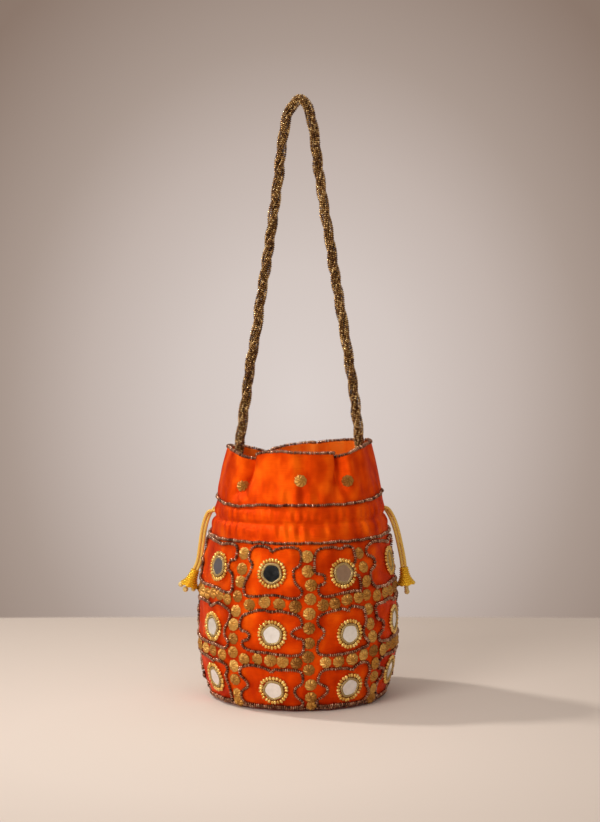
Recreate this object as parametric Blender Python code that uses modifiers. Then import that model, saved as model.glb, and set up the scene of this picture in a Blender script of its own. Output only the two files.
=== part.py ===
"""Potli: a small drawstring bag of embroidered silk with a beaded rope handle.

Units are metres. +Z is up, the front faces -Y and +X is the wearer's right.
The origin is on the floor, at the middle of the round base.
Azimuths are in degrees from the front, growing towards +X.
"""

import math

import bmesh
import bpy
from mathutils import Vector

# Cloth
RIM_HEIGHT = 0.200
CLOTH_THICKNESS = 0.0010
LINING_THICKNESS = 0.0008
GAP = 0.0003
# Half of the bag's width at each height, on the outside of the silk
SIDE_OUTLINE = (
    (0.0003, 0.0633),
    (0.0025, 0.0680),
    (0.0060, 0.0708),
    (0.0120, 0.0732),
    (0.0270, 0.0770),
    (0.0430, 0.0790),
    (0.0600, 0.0795),
    (0.0750, 0.0790),
    (0.1080, 0.0760),
    (0.1280, 0.0720),
    (0.1400, 0.0690),
    (0.1570, 0.0660),
    (0.1720, 0.0640),
    (0.1860, 0.0610),
    (0.2000, 0.0570),
)
# The bag is round up to its shoulder and flattens to an oval mouth.
SHOULDER_HEIGHT = 0.120
MOUTH_FLATNESS = 0.32
RING_SEGMENTS = 40
# Small steps over which the silk's slope is measured, in degrees and metres
NORMAL_TURN = 0.5
NORMAL_LIFT = 0.0005
# The lining is a loose pouch: its floor's edge, where its side starts and its rings up to the channel
LINING_FLOOR_RADIUS = 0.0620
LINING_RING_HEIGHTS = (0.0090, 0.0120, 0.0270, 0.0430, 0.0600, 0.0750, 0.1080, 0.1280, 0.1400)
LINING_NECK_HEIGHTS = (0.1720, 0.1860, RIM_HEIGHT)

# Base
BASE_RADIUS = 0.0620
BASE_THICKNESS = 0.0010
BOARD_RADIUS = 0.0580
BOARD_THICKNESS = 0.0020

# Drawstring channel and the slots where its cords come out
CHANNEL_BOTTOM = 0.1460
CHANNEL_TOP = 0.1590
CHANNEL_BLEND = 0.0030
CHANNEL_SLACK = 0.0005
SLOT_WIDTH = 0.0125
SLOT_BOTTOM = 0.1470
SLOT_TOP = 0.1575
SLOT_CUTTER_DEPTH = 0.0100

# Drawcords: one runs round the whole channel from each side
CORD_RADIUS = 0.0013
CORD_SPREAD = 0.0021
LEFT_CORD_HEIGHT = 0.1494
RIGHT_CORD_HEIGHT = 0.1552
EXIT_TURN = 3.6
EXIT_LENGTH = 0.0022
LOOP_TURNS = 44
# The pair of hanging ends comes out one behind the other and turns side by side over this length
CORD_TURN = 0.35
CORD_PAIR_SPREAD = 0.0016
# The hanging pairs' centre lines as X and Z, from the slot down to the bell
LEFT_TAIL = (
    (-0.0689, 0.1500),
    (-0.0716, 0.1485),
    (-0.0746, 0.1415),
    (-0.0767, 0.1320),
    (-0.0784, 0.1200),
    (-0.0801, 0.1090),
    (-0.0830, 0.1017),
)
RIGHT_TAIL = (
    (0.0682, 0.1534),
    (0.0722, 0.1508),
    (0.0764, 0.1435),
    (0.0797, 0.1340),
    (0.0825, 0.1220),
    (0.0845, 0.1120),
    (0.0856, 0.1038),
)
TAIL_POINTS = 14

# Bell tassels, as radius and distance below the top
BELL_PROFILE = (
    (0.0000, 0.0000),
    (0.0034, 0.0000),
    (0.0036, 0.0025),
    (0.0040, 0.0055),
    (0.0049, 0.0085),
    (0.0063, 0.0112),
    (0.0077, 0.0135),
    (0.0069, 0.0137),
    (0.0054, 0.0110),
    (0.0038, 0.0080),
    (0.0030, 0.0050),
    (0.0000, 0.0050),
)
# Stamens: a thin stalk, a fuller middle and a knotted tip
STAMEN_STALK_RADIUS = 0.0016
STAMEN_MIDDLE_RADIUS = 0.0020
STAMEN_TIP_RADIUS = 0.0021
STAMEN_SHOULDER = 0.0030
STAMEN_TIP_LENGTH = 0.0012
STAMEN_TOP = 0.0053
LEFT_STAMEN_END = 0.0165
RIGHT_STAMEN_END = 0.0220

# Handle: a rope that swings where it leaves the mouth
HANDLE_RADIUS = 0.0046
HANDLE_PIVOT_HEIGHT = 0.204
# The rope's centre line as X and Z, from the left end to the right
HANDLE_ROUTE = (
    (-0.0470, 0.2040),
    (-0.0457, 0.2150),
    (-0.0440, 0.2270),
    (-0.0416, 0.2430),
    (-0.0394, 0.2610),
    (-0.0362, 0.2800),
    (-0.0330, 0.2980),
    (-0.0298, 0.3210),
    (-0.0272, 0.3380),
    (-0.0242, 0.3560),
    (-0.0213, 0.3770),
    (-0.0181, 0.3990),
    (-0.0152, 0.4210),
    (-0.0126, 0.4450),
    (-0.0084, 0.4670),
    (0.0009, 0.4802),
    (0.0094, 0.4700),
    (0.0132, 0.4490),
    (0.0162, 0.4260),
    (0.0194, 0.4040),
    (0.0226, 0.3840),
    (0.0259, 0.3650),
    (0.0288, 0.3450),
    (0.0321, 0.3260),
    (0.0354, 0.3060),
    (0.0382, 0.2890),
    (0.0412, 0.2710),
    (0.0440, 0.2520),
    (0.0463, 0.2350),
    (0.0480, 0.2200),
    (0.0495, 0.2040),
)
HANDLE_POINTS = 72
HANDLE_END_RADIUS = 0.0042
# The rope's sewn ends inside the mouth, as X and Z on the left; the right mirrors them
HANDLE_END_ROUTE = (
    (-0.0482, 0.1975),
    (-0.0500, 0.1915),
    (-0.0530, 0.1840),
)
HANDLE_END_POINTS = 5

# Bead lines on the silk
BEAD_RADIUS = 0.0010
BEAD_LINES = {
    "base_beading": 0.0040,
    "body_beading": 0.1350,
    "neck_beading": 0.1625,
}
BEAD_LINE_POINTS = 40

# Mirror work: three rows of eight, each mirror's azimuth and height, going round from the front
MIRROR_PLACES = {
    "upper": (
        (-15.7, 0.1112),
        (27.9, 0.1102),
        (75.5, 0.1125),
        (119.0, 0.1110),
        (162.0, 0.1100),
        (-156.0, 0.1105),
        (-116.0, 0.1108),
        (-56.0, 0.1117),
    ),
    "middle": (
        (-14.8, 0.0633),
        (30.6, 0.0625),
        (74.0, 0.0655),
        (120.0, 0.0640),
        (162.0, 0.0625),
        (-155.0, 0.0625),
        (-115.0, 0.0635),
        (-58.0, 0.0633),
    ),
    "lower": (
        (-14.7, 0.0184),
        (32.5, 0.0188),
        (72.0, 0.0245),
        (119.0, 0.0210),
        (162.0, 0.0190),
        (-156.0, 0.0190),
        (-116.0, 0.0205),
        (-59.5, 0.0218),
    ),
}
MIRROR_RADIUS = 0.0080
MIRROR_THICKNESS = 0.0008
MIRROR_SEGMENTS = 16

# Buttons round the ruffle
# Each one's azimuth and height, going round from the front
RUFFLE_BUTTONS = (
    (1.8, 0.1800),
    (39.5, 0.1800),
    (112.0, 0.1790),
    (147.0, 0.1780),
    (-178.0, 0.1790),
    (-145.0, 0.1780),
    (-112.0, 0.1770),
    (-48.0, 0.1755),
)
# Radius and height above the silk
BUTTON_PROFILE = (
    (0.0000, 0.0032),
    (0.0030, 0.0028),
    (0.0048, 0.0015),
    (0.0048, 0.0004),
    (0.0000, 0.0000),
)
BUTTON_STEPS = 12

BELL_STEPS = 16
MERGE_DISTANCE = 0.00001
SHARP_ANGLE = 40
CURVE_SAMPLES = 20


def clear_scene():
    for obj in list(bpy.data.objects):
        bpy.data.objects.remove(obj)


def new_collection(name):
    collection = bpy.data.collections.new(name)
    bpy.context.scene.collection.children.link(collection)
    return collection


def new_material(name, colour, roughness, metallic=0.0):
    material = bpy.data.materials.new(name)
    material.use_nodes = True
    shader = material.node_tree.nodes["Principled BSDF"]
    shader.inputs["Base Color"].default_value = (*colour, 1.0)
    shader.inputs["Roughness"].default_value = roughness
    shader.inputs["Metallic"].default_value = metallic
    material.diffuse_color = (*colour, 1.0)
    return material


def smooth_step(value):
    value = min(max(value, 0.0), 1.0)
    return value * value * (3 - 2 * value)


def spline_point(points, index, part):
    """A point on the smooth curve through the points, part of the way from one to the next."""
    last = len(points) - 1
    before, start, end, after = (
        Vector(points[min(max(index + step, 0), last)]) for step in (-1, 0, 1, 2)
    )
    return 0.5 * (
        2 * start
        + (end - before) * part
        + (2 * before - 5 * start + 4 * end - after) * part**2
        + (3 * start - before - 3 * end + after) * part**3
    )


def smooth_route(points, count):
    """That many points, evenly spaced, along the smooth curve through the points."""
    fine = [
        spline_point(points, index, step / CURVE_SAMPLES)
        for index in range(len(points) - 1)
        for step in range(CURVE_SAMPLES)
    ]
    fine.append(Vector(points[-1]))
    reach = [0.0]
    for start, end in zip(fine, fine[1:]):
        reach.append(reach[-1] + (end - start).length)
    route = []
    index = 0
    for step in range(count):
        wanted = reach[-1] * step / (count - 1)
        while index < len(fine) - 2 and reach[index + 1] < wanted:
            index += 1
        part = (wanted - reach[index]) / (reach[index + 1] - reach[index])
        route.append(fine[index].lerp(fine[index + 1], part))
    return route


def half_width(height):
    """Half of the bag's width at a height, smooth between the outline's points."""
    outline = SIDE_OUTLINE
    index = 0
    while index < len(outline) - 2 and outline[index + 1][0] < height:
        index += 1
    low, high = outline[index], outline[index + 1]
    part = min(max((height - low[0]) / (high[0] - low[0]), 0.0), 1.0)

    def slope(middle):
        first = outline[max(middle - 1, 0)]
        last = outline[min(middle + 1, len(outline) - 1)]
        return (last[1] - first[1]) / (last[0] - first[0])

    span = high[0] - low[0]
    return (
        low[1] * (1 - smooth_step(part))
        + high[1] * smooth_step(part)
        + slope(index) * span * part * (1 - part) ** 2
        - slope(index + 1) * span * part**2 * (1 - part)
    )


def surface_point(azimuth, height):
    """A point on the outside of the silk."""
    rise = (height - SHOULDER_HEIGHT) / (RIM_HEIGHT - SHOULDER_HEIGHT)
    width = half_width(height)
    depth = width * (1 - MOUTH_FLATNESS * smooth_step(rise))
    angle = math.radians(azimuth)
    return Vector((width * math.sin(angle), -depth * math.cos(angle), height))


def surface_normal(azimuth, height):
    """The silk's outward direction."""
    after = surface_point(azimuth + NORMAL_TURN, height)
    before = surface_point(azimuth - NORMAL_TURN, height)
    above = surface_point(azimuth, height + NORMAL_LIFT)
    below = surface_point(azimuth, height - NORMAL_LIFT)
    return (after - before).cross(above - below).normalized()


def level_normal(azimuth, height):
    """The silk's outward direction, kept level."""
    normal = surface_normal(azimuth, height)
    return Vector((normal.x, normal.y, 0.0)).normalized()


def ring(height, inset):
    """Points round the bag at a height, that far inside the silk's outside."""
    return [
        surface_point(azimuth, height) - inset * level_normal(azimuth, height)
        for azimuth in (360 * step / RING_SEGMENTS for step in range(RING_SEGMENTS))
    ]


def finish_mesh(name, mesh_data, material, collection):
    mesh = bpy.data.meshes.new(name)
    mesh_data.to_mesh(mesh)
    mesh_data.free()
    mesh.materials.append(material)
    mesh.shade_smooth()
    mesh.set_sharp_from_angle(angle=math.radians(SHARP_ANGLE))
    obj = bpy.data.objects.new(name, mesh)
    collection.objects.link(obj)
    return obj


def cloth_shell(name, rings, thickness, material, collection, closed_base=False):
    """An open surface through the rings, from the lowest up, thickened inwards."""
    mesh_data = bmesh.new()
    rows = [[mesh_data.verts.new(point) for point in points] for points in rings]
    for low, high in zip(rows, rows[1:]):
        for step in range(RING_SEGMENTS):
            after = (step + 1) % RING_SEGMENTS
            mesh_data.faces.new((low[step], low[after], high[after], high[step]))
    if closed_base:
        mesh_data.faces.new(list(reversed(rows[0])))
    obj = finish_mesh(name, mesh_data, material, collection)
    solidify = obj.modifiers.new("thickness", "SOLIDIFY")
    solidify.thickness = thickness
    solidify.offset = -1.0
    return obj


def turned(name, profile, steps, material, collection):
    """A solid of revolution about Z; the profile runs down the outer side."""
    mesh_data = bmesh.new()
    corners = [mesh_data.verts.new((radius, 0.0, height)) for radius, height in profile]
    for start, end in zip(corners, corners[1:]):
        mesh_data.edges.new((start, end))
    obj = finish_mesh(name, mesh_data, material, collection)
    screw = obj.modifiers.new("turn", "SCREW")
    screw.axis = "Z"
    screw.steps = steps
    screw.render_steps = steps
    screw.use_merge_vertices = True
    screw.merge_threshold = MERGE_DISTANCE
    return obj


def tube(name, points, radius, material, collection, closed=False):
    """A round tube along the points, with flat ends unless it is closed."""
    curve = bpy.data.curves.new(name, "CURVE")
    curve.dimensions = "3D"
    curve.bevel_depth = radius
    curve.bevel_resolution = 2
    curve.use_fill_caps = not closed
    spline = curve.splines.new("POLY")
    spline.points.add(len(points) - 1)
    for target, point in zip(spline.points, points):
        target.co = (*point, 1.0)
    spline.use_cyclic_u = closed
    curve.materials.append(material)
    obj = bpy.data.objects.new(name, curve)
    collection.objects.link(obj)
    return obj


def disc(name, radius, thickness, segments, material, collection):
    """A flat round plate whose lower face is at its own Z = 0."""
    mesh_data = bmesh.new()
    bmesh.ops.create_cone(
        mesh_data,
        cap_ends=True,
        segments=segments,
        radius1=radius,
        radius2=radius,
        depth=thickness,
    )
    bmesh.ops.translate(mesh_data, verts=mesh_data.verts, vec=(0, 0, thickness / 2))
    return finish_mesh(name, mesh_data, material, collection)


def stand_on_silk(obj, azimuth, height):
    """Puts an object's own Z = 0 just outside the silk, facing out."""
    normal = surface_normal(azimuth, height)
    obj.location = surface_point(azimuth, height) + GAP * normal
    obj.rotation_mode = "QUATERNION"
    obj.rotation_quaternion = normal.to_track_quat("Z", "Y")


def upright_route(route):
    """A list of X and Z as points in space, at Y = 0."""
    return [Vector((x, 0.0, z)) for x, z in route]


def make_silk(silk, cutters, collection):
    """The embroidered outer silk in one piece, from the base seam to the rim."""
    heights = [height for height, _ in SIDE_OUTLINE]
    rings = [ring(height, 0.0) for height in heights]
    body = cloth_shell("outer_silk", rings, CLOTH_THICKNESS, silk, collection)
    for side, name in ((-1, "left_slot"), (1, "right_slot")):
        middle = (SLOT_BOTTOM + SLOT_TOP) / 2
        mesh_data = bmesh.new()
        bmesh.ops.create_cube(mesh_data, size=1.0)
        bmesh.ops.scale(
            mesh_data,
            verts=mesh_data.verts,
            vec=(SLOT_CUTTER_DEPTH, SLOT_WIDTH, SLOT_TOP - SLOT_BOTTOM),
        )
        cutter = finish_mesh(name, mesh_data, silk, cutters)
        cutter.location = (side * half_width(middle), 0.0, middle)
        cutter.hide_render = True
        cutter.display_type = "WIRE"
        cut = body.modifiers.new(name, "BOOLEAN")
        cut.operation = "DIFFERENCE"
        cut.solver = "EXACT"
        cut.object = cutter


def lining_inset(height):
    """How far the lining lies inside the silk's outside; the channel holds a cord between them."""
    close = CLOTH_THICKNESS + 2 * GAP
    into = smooth_step((height - CHANNEL_BOTTOM) / CHANNEL_BLEND + 1)
    out = smooth_step((height - CHANNEL_TOP) / CHANNEL_BLEND)
    return close + 2 * (CORD_RADIUS + CHANNEL_SLACK) * (into - out)


def make_lining(silk, collection):
    """The lining: a closed pouch inside the silk, bowed inwards along the channel."""
    floor = BASE_THICKNESS + BOARD_THICKNESS + 3 * GAP
    channel = (
        CHANNEL_BOTTOM - CHANNEL_BLEND,
        CHANNEL_BOTTOM,
        CHANNEL_TOP,
        CHANNEL_TOP + CHANNEL_BLEND,
    )
    heights = LINING_RING_HEIGHTS + channel + LINING_NECK_HEIGHTS
    rings = [ring(height, lining_inset(height)) for height in heights]
    floor_edge = []
    for point in rings[0]:
        outwards = Vector((point.x, point.y, 0.0)).normalized()
        floor_edge.append(LINING_FLOOR_RADIUS * outwards + Vector((0.0, 0.0, floor)))
    rings.insert(0, floor_edge)
    cloth_shell("lining", rings, LINING_THICKNESS, silk, collection, closed_base=True)


def make_base(silk, board, collection):
    """The round silk base, and the stiff board that lies on it under the lining."""
    disc("base_panel", BASE_RADIUS, BASE_THICKNESS, RING_SEGMENTS, silk, collection)
    plate = disc("base_board", BOARD_RADIUS, BOARD_THICKNESS, RING_SEGMENTS, board, collection)
    plate.location.z = BASE_THICKNESS + GAP


def tail_points(route, sign):
    """A cord's hanging end: front or back at the slot, then the outer or inner one of the pair."""
    line = upright_route(route)
    last = len(line) - 1
    points = []
    for index, middle in enumerate(line):
        turned_by = smooth_step(index / last / CORD_TURN)
        along = line[min(index + 1, last)] - line[max(index - 1, 0)]
        outwards = Vector((-along.z, 0.0, along.x)).normalized()
        if outwards.x * middle.x < 0:
            outwards.negate()
        spread = CORD_SPREAD + (CORD_PAIR_SPREAD - CORD_SPREAD) * turned_by
        angle = math.pi / 2 * turned_by
        aside = Vector((0.0, sign, 0.0)) * math.cos(angle) - sign * outwards * math.sin(angle)
        points.append(middle + spread * aside)
    return smooth_route(points, TAIL_POINTS)


def make_drawcord(side, material, collection):
    """One cord from a side slot round the whole channel and out again, and its two hanging ends."""
    left = side == "left"
    height = LEFT_CORD_HEIGHT if left else RIGHT_CORD_HEIGHT
    exit_azimuth = -90 if left else 90
    inset = CLOTH_THICKNESS + GAP + CHANNEL_SLACK + CORD_RADIUS
    sweep = 360 - 2 * EXIT_TURN
    loop = [
        surface_point(azimuth, height) - inset * level_normal(azimuth, height)
        for azimuth in (
            exit_azimuth + EXIT_TURN + sweep * step / LOOP_TURNS for step in range(LOOP_TURNS + 1)
        )
    ]
    for place, sign in (("front", -1), ("back", 1)):
        tail = tail_points(LEFT_TAIL if left else RIGHT_TAIL, sign)
        inwards = (tail[0] - tail[1]).normalized()
        mouth = tail[0] + GAP * inwards
        inner = mouth + EXIT_LENGTH * inwards
        if (sign < 0) == left:
            loop = [mouth, inner] + loop
        else:
            loop = loop + [inner, mouth]
        tube(f"drawcord_{side}_tail_{place}", tail, CORD_RADIUS, material, collection)
    tube(f"drawcord_{side}", loop, CORD_RADIUS, material, collection)


def make_bell(side, bell_material, stamen_material, collection):
    """A trumpet-shaped thread bell under a pair of cord ends, and the stamens that hang in it."""
    tail = LEFT_TAIL if side == "left" else RIGHT_TAIL
    end = LEFT_STAMEN_END if side == "left" else RIGHT_STAMEN_END
    start, stop = upright_route(tail[-2:])
    along = (stop - start).normalized()
    top = stop + GAP * along
    lean = (-along).to_track_quat("Z", "Y")
    bell_profile = [(radius, -depth) for radius, depth in BELL_PROFILE]
    stamen_profile = (
        (0.0, -STAMEN_TOP),
        (STAMEN_STALK_RADIUS, -STAMEN_TOP),
        (STAMEN_MIDDLE_RADIUS, -STAMEN_TOP - STAMEN_SHOULDER),
        (STAMEN_STALK_RADIUS, -end + STAMEN_SHOULDER),
        (STAMEN_TIP_RADIUS, -end + STAMEN_TIP_LENGTH),
        (0.0, -end),
    )
    for name, profile, material in (
        (f"tassel_bell_{side}", bell_profile, bell_material),
        (f"tassel_stamens_{side}", stamen_profile, stamen_material),
    ):
        obj = turned(name, profile, BELL_STEPS, material, collection)
        obj.location = top
        obj.rotation_mode = "QUATERNION"
        obj.rotation_quaternion = lean


def make_handle(material, collection):
    """The rope that swings, with its origin on the pivot, and its two sewn ends."""
    pivot = bpy.data.objects.new("handle_pivot", None)
    pivot.location.z = HANDLE_PIVOT_HEIGHT
    collection.objects.link(pivot)
    lower = Vector((0.0, 0.0, HANDLE_PIVOT_HEIGHT))
    points = smooth_route(upright_route(HANDLE_ROUTE), HANDLE_POINTS)
    rope = tube(
        "handle_rope", [point - lower for point in points], HANDLE_RADIUS, material, collection
    )
    rope.parent = pivot
    for side, sign in (("left", 1), ("right", -1)):
        route = [(sign * x, z) for x, z in HANDLE_END_ROUTE]
        points = smooth_route(upright_route(route), HANDLE_END_POINTS)
        tube(f"handle_end_{side}", points, HANDLE_END_RADIUS, material, collection)


def make_bead_lines(material, collection):
    """Closed lines of seed beads couched on the silk, and the edging on the rim."""
    turn = [360 * step / BEAD_LINE_POINTS for step in range(BEAD_LINE_POINTS)]
    for name, height in BEAD_LINES.items():
        points = [
            surface_point(azimuth, height)
            + (BEAD_RADIUS + GAP) * surface_normal(azimuth, height)
            for azimuth in turn
        ]
        tube(name, points, BEAD_RADIUS, material, collection, closed=True)
    lift = Vector((0.0, 0.0, BEAD_RADIUS + GAP))
    points = [
        surface_point(azimuth, RIM_HEIGHT)
        - CLOTH_THICKNESS * level_normal(azimuth, RIM_HEIGHT)
        + lift
        for azimuth in turn
    ]
    tube("rim_beading", points, BEAD_RADIUS, material, collection, closed=True)


def make_mirrors(material, collection):
    for row, places in MIRROR_PLACES.items():
        for column, (azimuth, height) in enumerate(places):
            name = f"mirror_{row}_{column + 1}"
            plate = disc(
                name, MIRROR_RADIUS, MIRROR_THICKNESS, MIRROR_SEGMENTS, material, collection
            )
            stand_on_silk(plate, azimuth, height)


def make_ruffle_buttons(material, collection):
    for index, (azimuth, height) in enumerate(RUFFLE_BUTTONS):
        name = f"ruffle_button_{index + 1}"
        button = turned(name, BUTTON_PROFILE, BUTTON_STEPS, material, collection)
        stand_on_silk(button, azimuth, height)


def main():
    clear_scene()
    parts = new_collection("potli_bag")
    cutters = new_collection("cutters")
    silk = new_material("orange_silk", (0.90, 0.13, 0.01), 0.45)
    lining_silk = new_material("lining_silk", (0.85, 0.12, 0.01), 0.5)
    board = new_material("buckram_board", (0.55, 0.48, 0.38), 0.9)
    cord = new_material("gold_satin_cord", (0.75, 0.48, 0.13), 0.4)
    thread = new_material("gold_thread", (0.70, 0.42, 0.06), 0.4, 0.6)
    bronze = new_material("bronze_beads", (0.20, 0.11, 0.06), 0.3, 0.5)
    rope = new_material("gold_bead_rope", (0.28, 0.17, 0.07), 0.3, 0.5)
    glass = new_material("mirror_glass", (0.85, 0.85, 0.85), 0.03, 1.0)
    make_silk(silk, cutters, parts)
    make_base(silk, board, parts)
    make_lining(lining_silk, parts)
    for side in ("left", "right"):
        make_drawcord(side, cord, parts)
        make_bell(side, thread, thread, parts)
    make_handle(rope, parts)
    make_bead_lines(bronze, parts)
    make_mirrors(glass, parts)
    make_ruffle_buttons(thread, parts)


main()
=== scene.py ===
"""The looks of the potli: embroidered silk, beads, mirror work, cords and a twisted bead rope.

Units are metres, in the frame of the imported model. Azimuths are in degrees from the front,
growing towards +X. Heights are those of the bag laid smooth, before its ruffle is folded.
"""

import math
import random

import bmesh
import bpy
import numpy as np
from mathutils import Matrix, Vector


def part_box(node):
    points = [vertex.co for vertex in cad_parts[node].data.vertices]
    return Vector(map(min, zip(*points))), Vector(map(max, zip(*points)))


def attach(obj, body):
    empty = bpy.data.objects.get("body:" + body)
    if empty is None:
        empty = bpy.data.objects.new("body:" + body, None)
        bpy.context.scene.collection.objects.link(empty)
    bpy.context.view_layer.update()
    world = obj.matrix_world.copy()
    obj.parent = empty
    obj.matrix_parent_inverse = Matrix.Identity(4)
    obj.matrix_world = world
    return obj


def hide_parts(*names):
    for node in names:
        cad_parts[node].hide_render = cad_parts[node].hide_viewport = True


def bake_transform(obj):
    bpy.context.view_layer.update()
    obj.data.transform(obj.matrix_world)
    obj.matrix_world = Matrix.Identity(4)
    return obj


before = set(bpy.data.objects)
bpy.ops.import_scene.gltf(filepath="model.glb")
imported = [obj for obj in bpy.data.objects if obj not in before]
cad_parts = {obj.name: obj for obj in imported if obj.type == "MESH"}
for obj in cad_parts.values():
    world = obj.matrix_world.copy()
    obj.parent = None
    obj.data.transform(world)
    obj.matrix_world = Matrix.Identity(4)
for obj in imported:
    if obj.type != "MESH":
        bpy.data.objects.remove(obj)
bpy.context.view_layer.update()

# --- Sizes shared with the part ---------------------------------------------------------------
SIDE_OUTLINE = (
    (0.0003, 0.0633), (0.0025, 0.0680), (0.0060, 0.0708), (0.0120, 0.0732), (0.0270, 0.0770),
    (0.0430, 0.0790), (0.0600, 0.0795), (0.0750, 0.0790), (0.1080, 0.0760), (0.1280, 0.0720),
    (0.1400, 0.0690), (0.1570, 0.0660), (0.1720, 0.0640), (0.1860, 0.0610), (0.2000, 0.0570),
)
SHOULDER_HEIGHT = 0.120
RIM_HEIGHT = 0.200
MOUTH_FLATNESS = 0.32
CHANNEL_BOTTOM = 0.1460
CHANNEL_TOP = 0.1590
CORD_RADIUS = 0.0013
CORD_SPREAD = 0.0021
CORD_PAIR_SPREAD = 0.00132
CORD_TURN = 0.35
LEFT_TAIL = (
    (-0.0689, 0.1500), (-0.0716, 0.1485), (-0.0746, 0.1415), (-0.0767, 0.1320),
    (-0.0784, 0.1200), (-0.0801, 0.1090), (-0.0830, 0.1017),
)
RIGHT_TAIL = (
    (0.0682, 0.1534), (0.0722, 0.1508), (0.0764, 0.1435), (0.0797, 0.1340), (0.0825, 0.1220),
    (0.0845, 0.1120), (0.0856, 0.1038),
)
BELL_PROFILE = (
    (0.0000, 0.0000), (0.0034, 0.0000), (0.0036, 0.0025), (0.0040, 0.0055), (0.0049, 0.0085),
    (0.0063, 0.0112), (0.0077, 0.0135), (0.0069, 0.0137), (0.0054, 0.0110), (0.0038, 0.0080),
    (0.0030, 0.0050),
)
HANDLE_ROUTE = (
    (-0.0530, 0.1840), (-0.0500, 0.1915), (-0.0482, 0.1975), (-0.0470, 0.2040),
    (-0.0457, 0.2150), (-0.0440, 0.2270), (-0.0416, 0.2430), (-0.0394, 0.2610),
    (-0.0362, 0.2800), (-0.0330, 0.2980), (-0.0298, 0.3210), (-0.0272, 0.3380),
    (-0.0242, 0.3560), (-0.0213, 0.3770), (-0.0181, 0.3990), (-0.0152, 0.4210),
    (-0.0126, 0.4450), (-0.0084, 0.4670), (0.0009, 0.4802), (0.0094, 0.4700), (0.0132, 0.4490),
    (0.0162, 0.4260), (0.0194, 0.4040), (0.0226, 0.3840), (0.0259, 0.3650), (0.0288, 0.3450),
    (0.0321, 0.3260), (0.0354, 0.3060), (0.0382, 0.2890), (0.0412, 0.2710), (0.0440, 0.2520),
    (0.0463, 0.2350), (0.0480, 0.2200), (0.0495, 0.2040), (0.0482, 0.1975), (0.0500, 0.1915),
    (0.0530, 0.1840),
)
# Each mirror's azimuth and height, row by row
MIRROR_PLACES = {
    "upper": (
        (-15.7, 0.1112), (27.9, 0.1102), (75.5, 0.1125), (119.0, 0.1110), (162.0, 0.1100),
        (-156.0, 0.1105), (-116.0, 0.1108), (-56.0, 0.1117),
    ),
    "middle": (
        (-14.8, 0.0633), (30.6, 0.0625), (74.0, 0.0655), (120.0, 0.0640), (162.0, 0.0625),
        (-155.0, 0.0625), (-115.0, 0.0635), (-58.0, 0.0633),
    ),
    "lower": (
        (-14.7, 0.0184), (32.5, 0.0188), (72.0, 0.0245), (119.0, 0.0210), (162.0, 0.0190),
        (-156.0, 0.0190), (-116.0, 0.0205), (-59.5, 0.0218),
    ),
}
GAP = 0.0003
RUFFLE_BUTTONS = (
    (1.8, 0.1800), (39.5, 0.1800), (112.0, 0.1790), (147.0, 0.1780), (-178.0, 0.1790),
    (-145.0, 0.1780), (-112.0, 0.1770), (-48.0, 0.1755),
)

# --- The ruffle and the bead lines, each as azimuth and height, going round --------------------
RIM_LINE = (
    (-180, 0.1990), (-165, 0.1962), (-150, 0.1938), (-132, 0.1980), (-105, 0.2005),
    (-90, 0.2020), (-70, 0.2005), (-54, 0.1970), (-43, 0.1940), (-36, 0.1965), (-26, 0.2008),
    (-14, 0.2018), (0, 0.2008), (22, 0.2002), (30, 0.1994), (35, 0.1955), (43, 0.1990),
    (60, 0.2030), (90, 0.2058), (115, 0.2048), (140, 0.2028), (165, 0.2005),
)
NECK_LINE = (
    (-180, 0.1620), (-135, 0.1625), (-90, 0.1625), (-62, 0.1595), (-44, 0.1585), (-34, 0.1612),
    (0, 0.1618), (35, 0.1615), (60, 0.1630), (90, 0.1665), (135, 0.1640),
)
BODY_LINE = (
    (-180, 0.1345), (-135, 0.1330), (-90, 0.1325), (-60, 0.1328), (-20, 0.1338), (30, 0.1342),
    (62, 0.1340), (90, 0.1350), (135, 0.1350),
)
STITCH_LINE = (
    (-180, 0.1470), (-90, 0.1462), (0, 0.1480), (90, 0.1480),
)
# The two rows of buttons round the body
UPPER_ROW_LINE = (
    (-180, 0.0865), (-90, 0.0870), (-69, 0.0877), (-52, 0.0895), (-43, 0.0875), (-31, 0.0850),
    (-19, 0.0883), (-8, 0.0872), (0, 0.0858), (13, 0.0850), (21, 0.0878), (34, 0.0912),
    (44, 0.0882), (54, 0.0888), (78, 0.0901), (120, 0.0880),
)
LOWER_ROW_LINE = (
    (-180, 0.0410), (-120, 0.0420), (-90, 0.0440), (-66, 0.0443), (-43, 0.0427), (-21, 0.0430),
    (-5, 0.0417), (3, 0.0403), (15, 0.0410), (31, 0.0413), (40, 0.0438), (63, 0.0455),
    (90, 0.0460), (135, 0.0430),
)
# The strings of buttons down the body: each one's azimuth at its top and at the base
STRINGS = (
    (5.8, 7.8), (41.0, 54.0), (97.0, 96.0), (141.0, 140.0), (-176.0, -175.0), (-136.0, -135.0),
    (-97.0, -96.0), (-36.0, -42.0),
)
STRING_TOP = 0.1245
# Folds of the ruffle: azimuth at the rim and at the neck, depth, half width, side that laps over
# it (0 for neither) and its lap
FOLDS = (
    (-40, -50, 0.0095, 6.5, 1, 4.5),
    (34, 30, 0.0080, 5.5, -1, 3.5),
    (-150, -144, 0.0100, 8.0, 0, 0.0),
    (-112, -108, 0.0040, 8.0, 0, 0.0),
    (76, 80, 0.0028, 7.0, 0, 0.0),
    (118, 112, 0.0050, 7.0, 0, 0.0),
    (163, 160, 0.0065, 6.0, 0, 0.0),
)
FOLD_BOTTOM = 0.1600
FOLD_TOP = 0.1900
RUFFLE_BOTTOM = 0.1650
RUFFLE_RIPPLE = 0.0011
# The creases that lean at the ruffle's foot: their middle height, depth and lean
CREASE_HEIGHT = 0.1690
CREASE_DEPTH = 0.0013
CREASE_LEAN = 260
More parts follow.
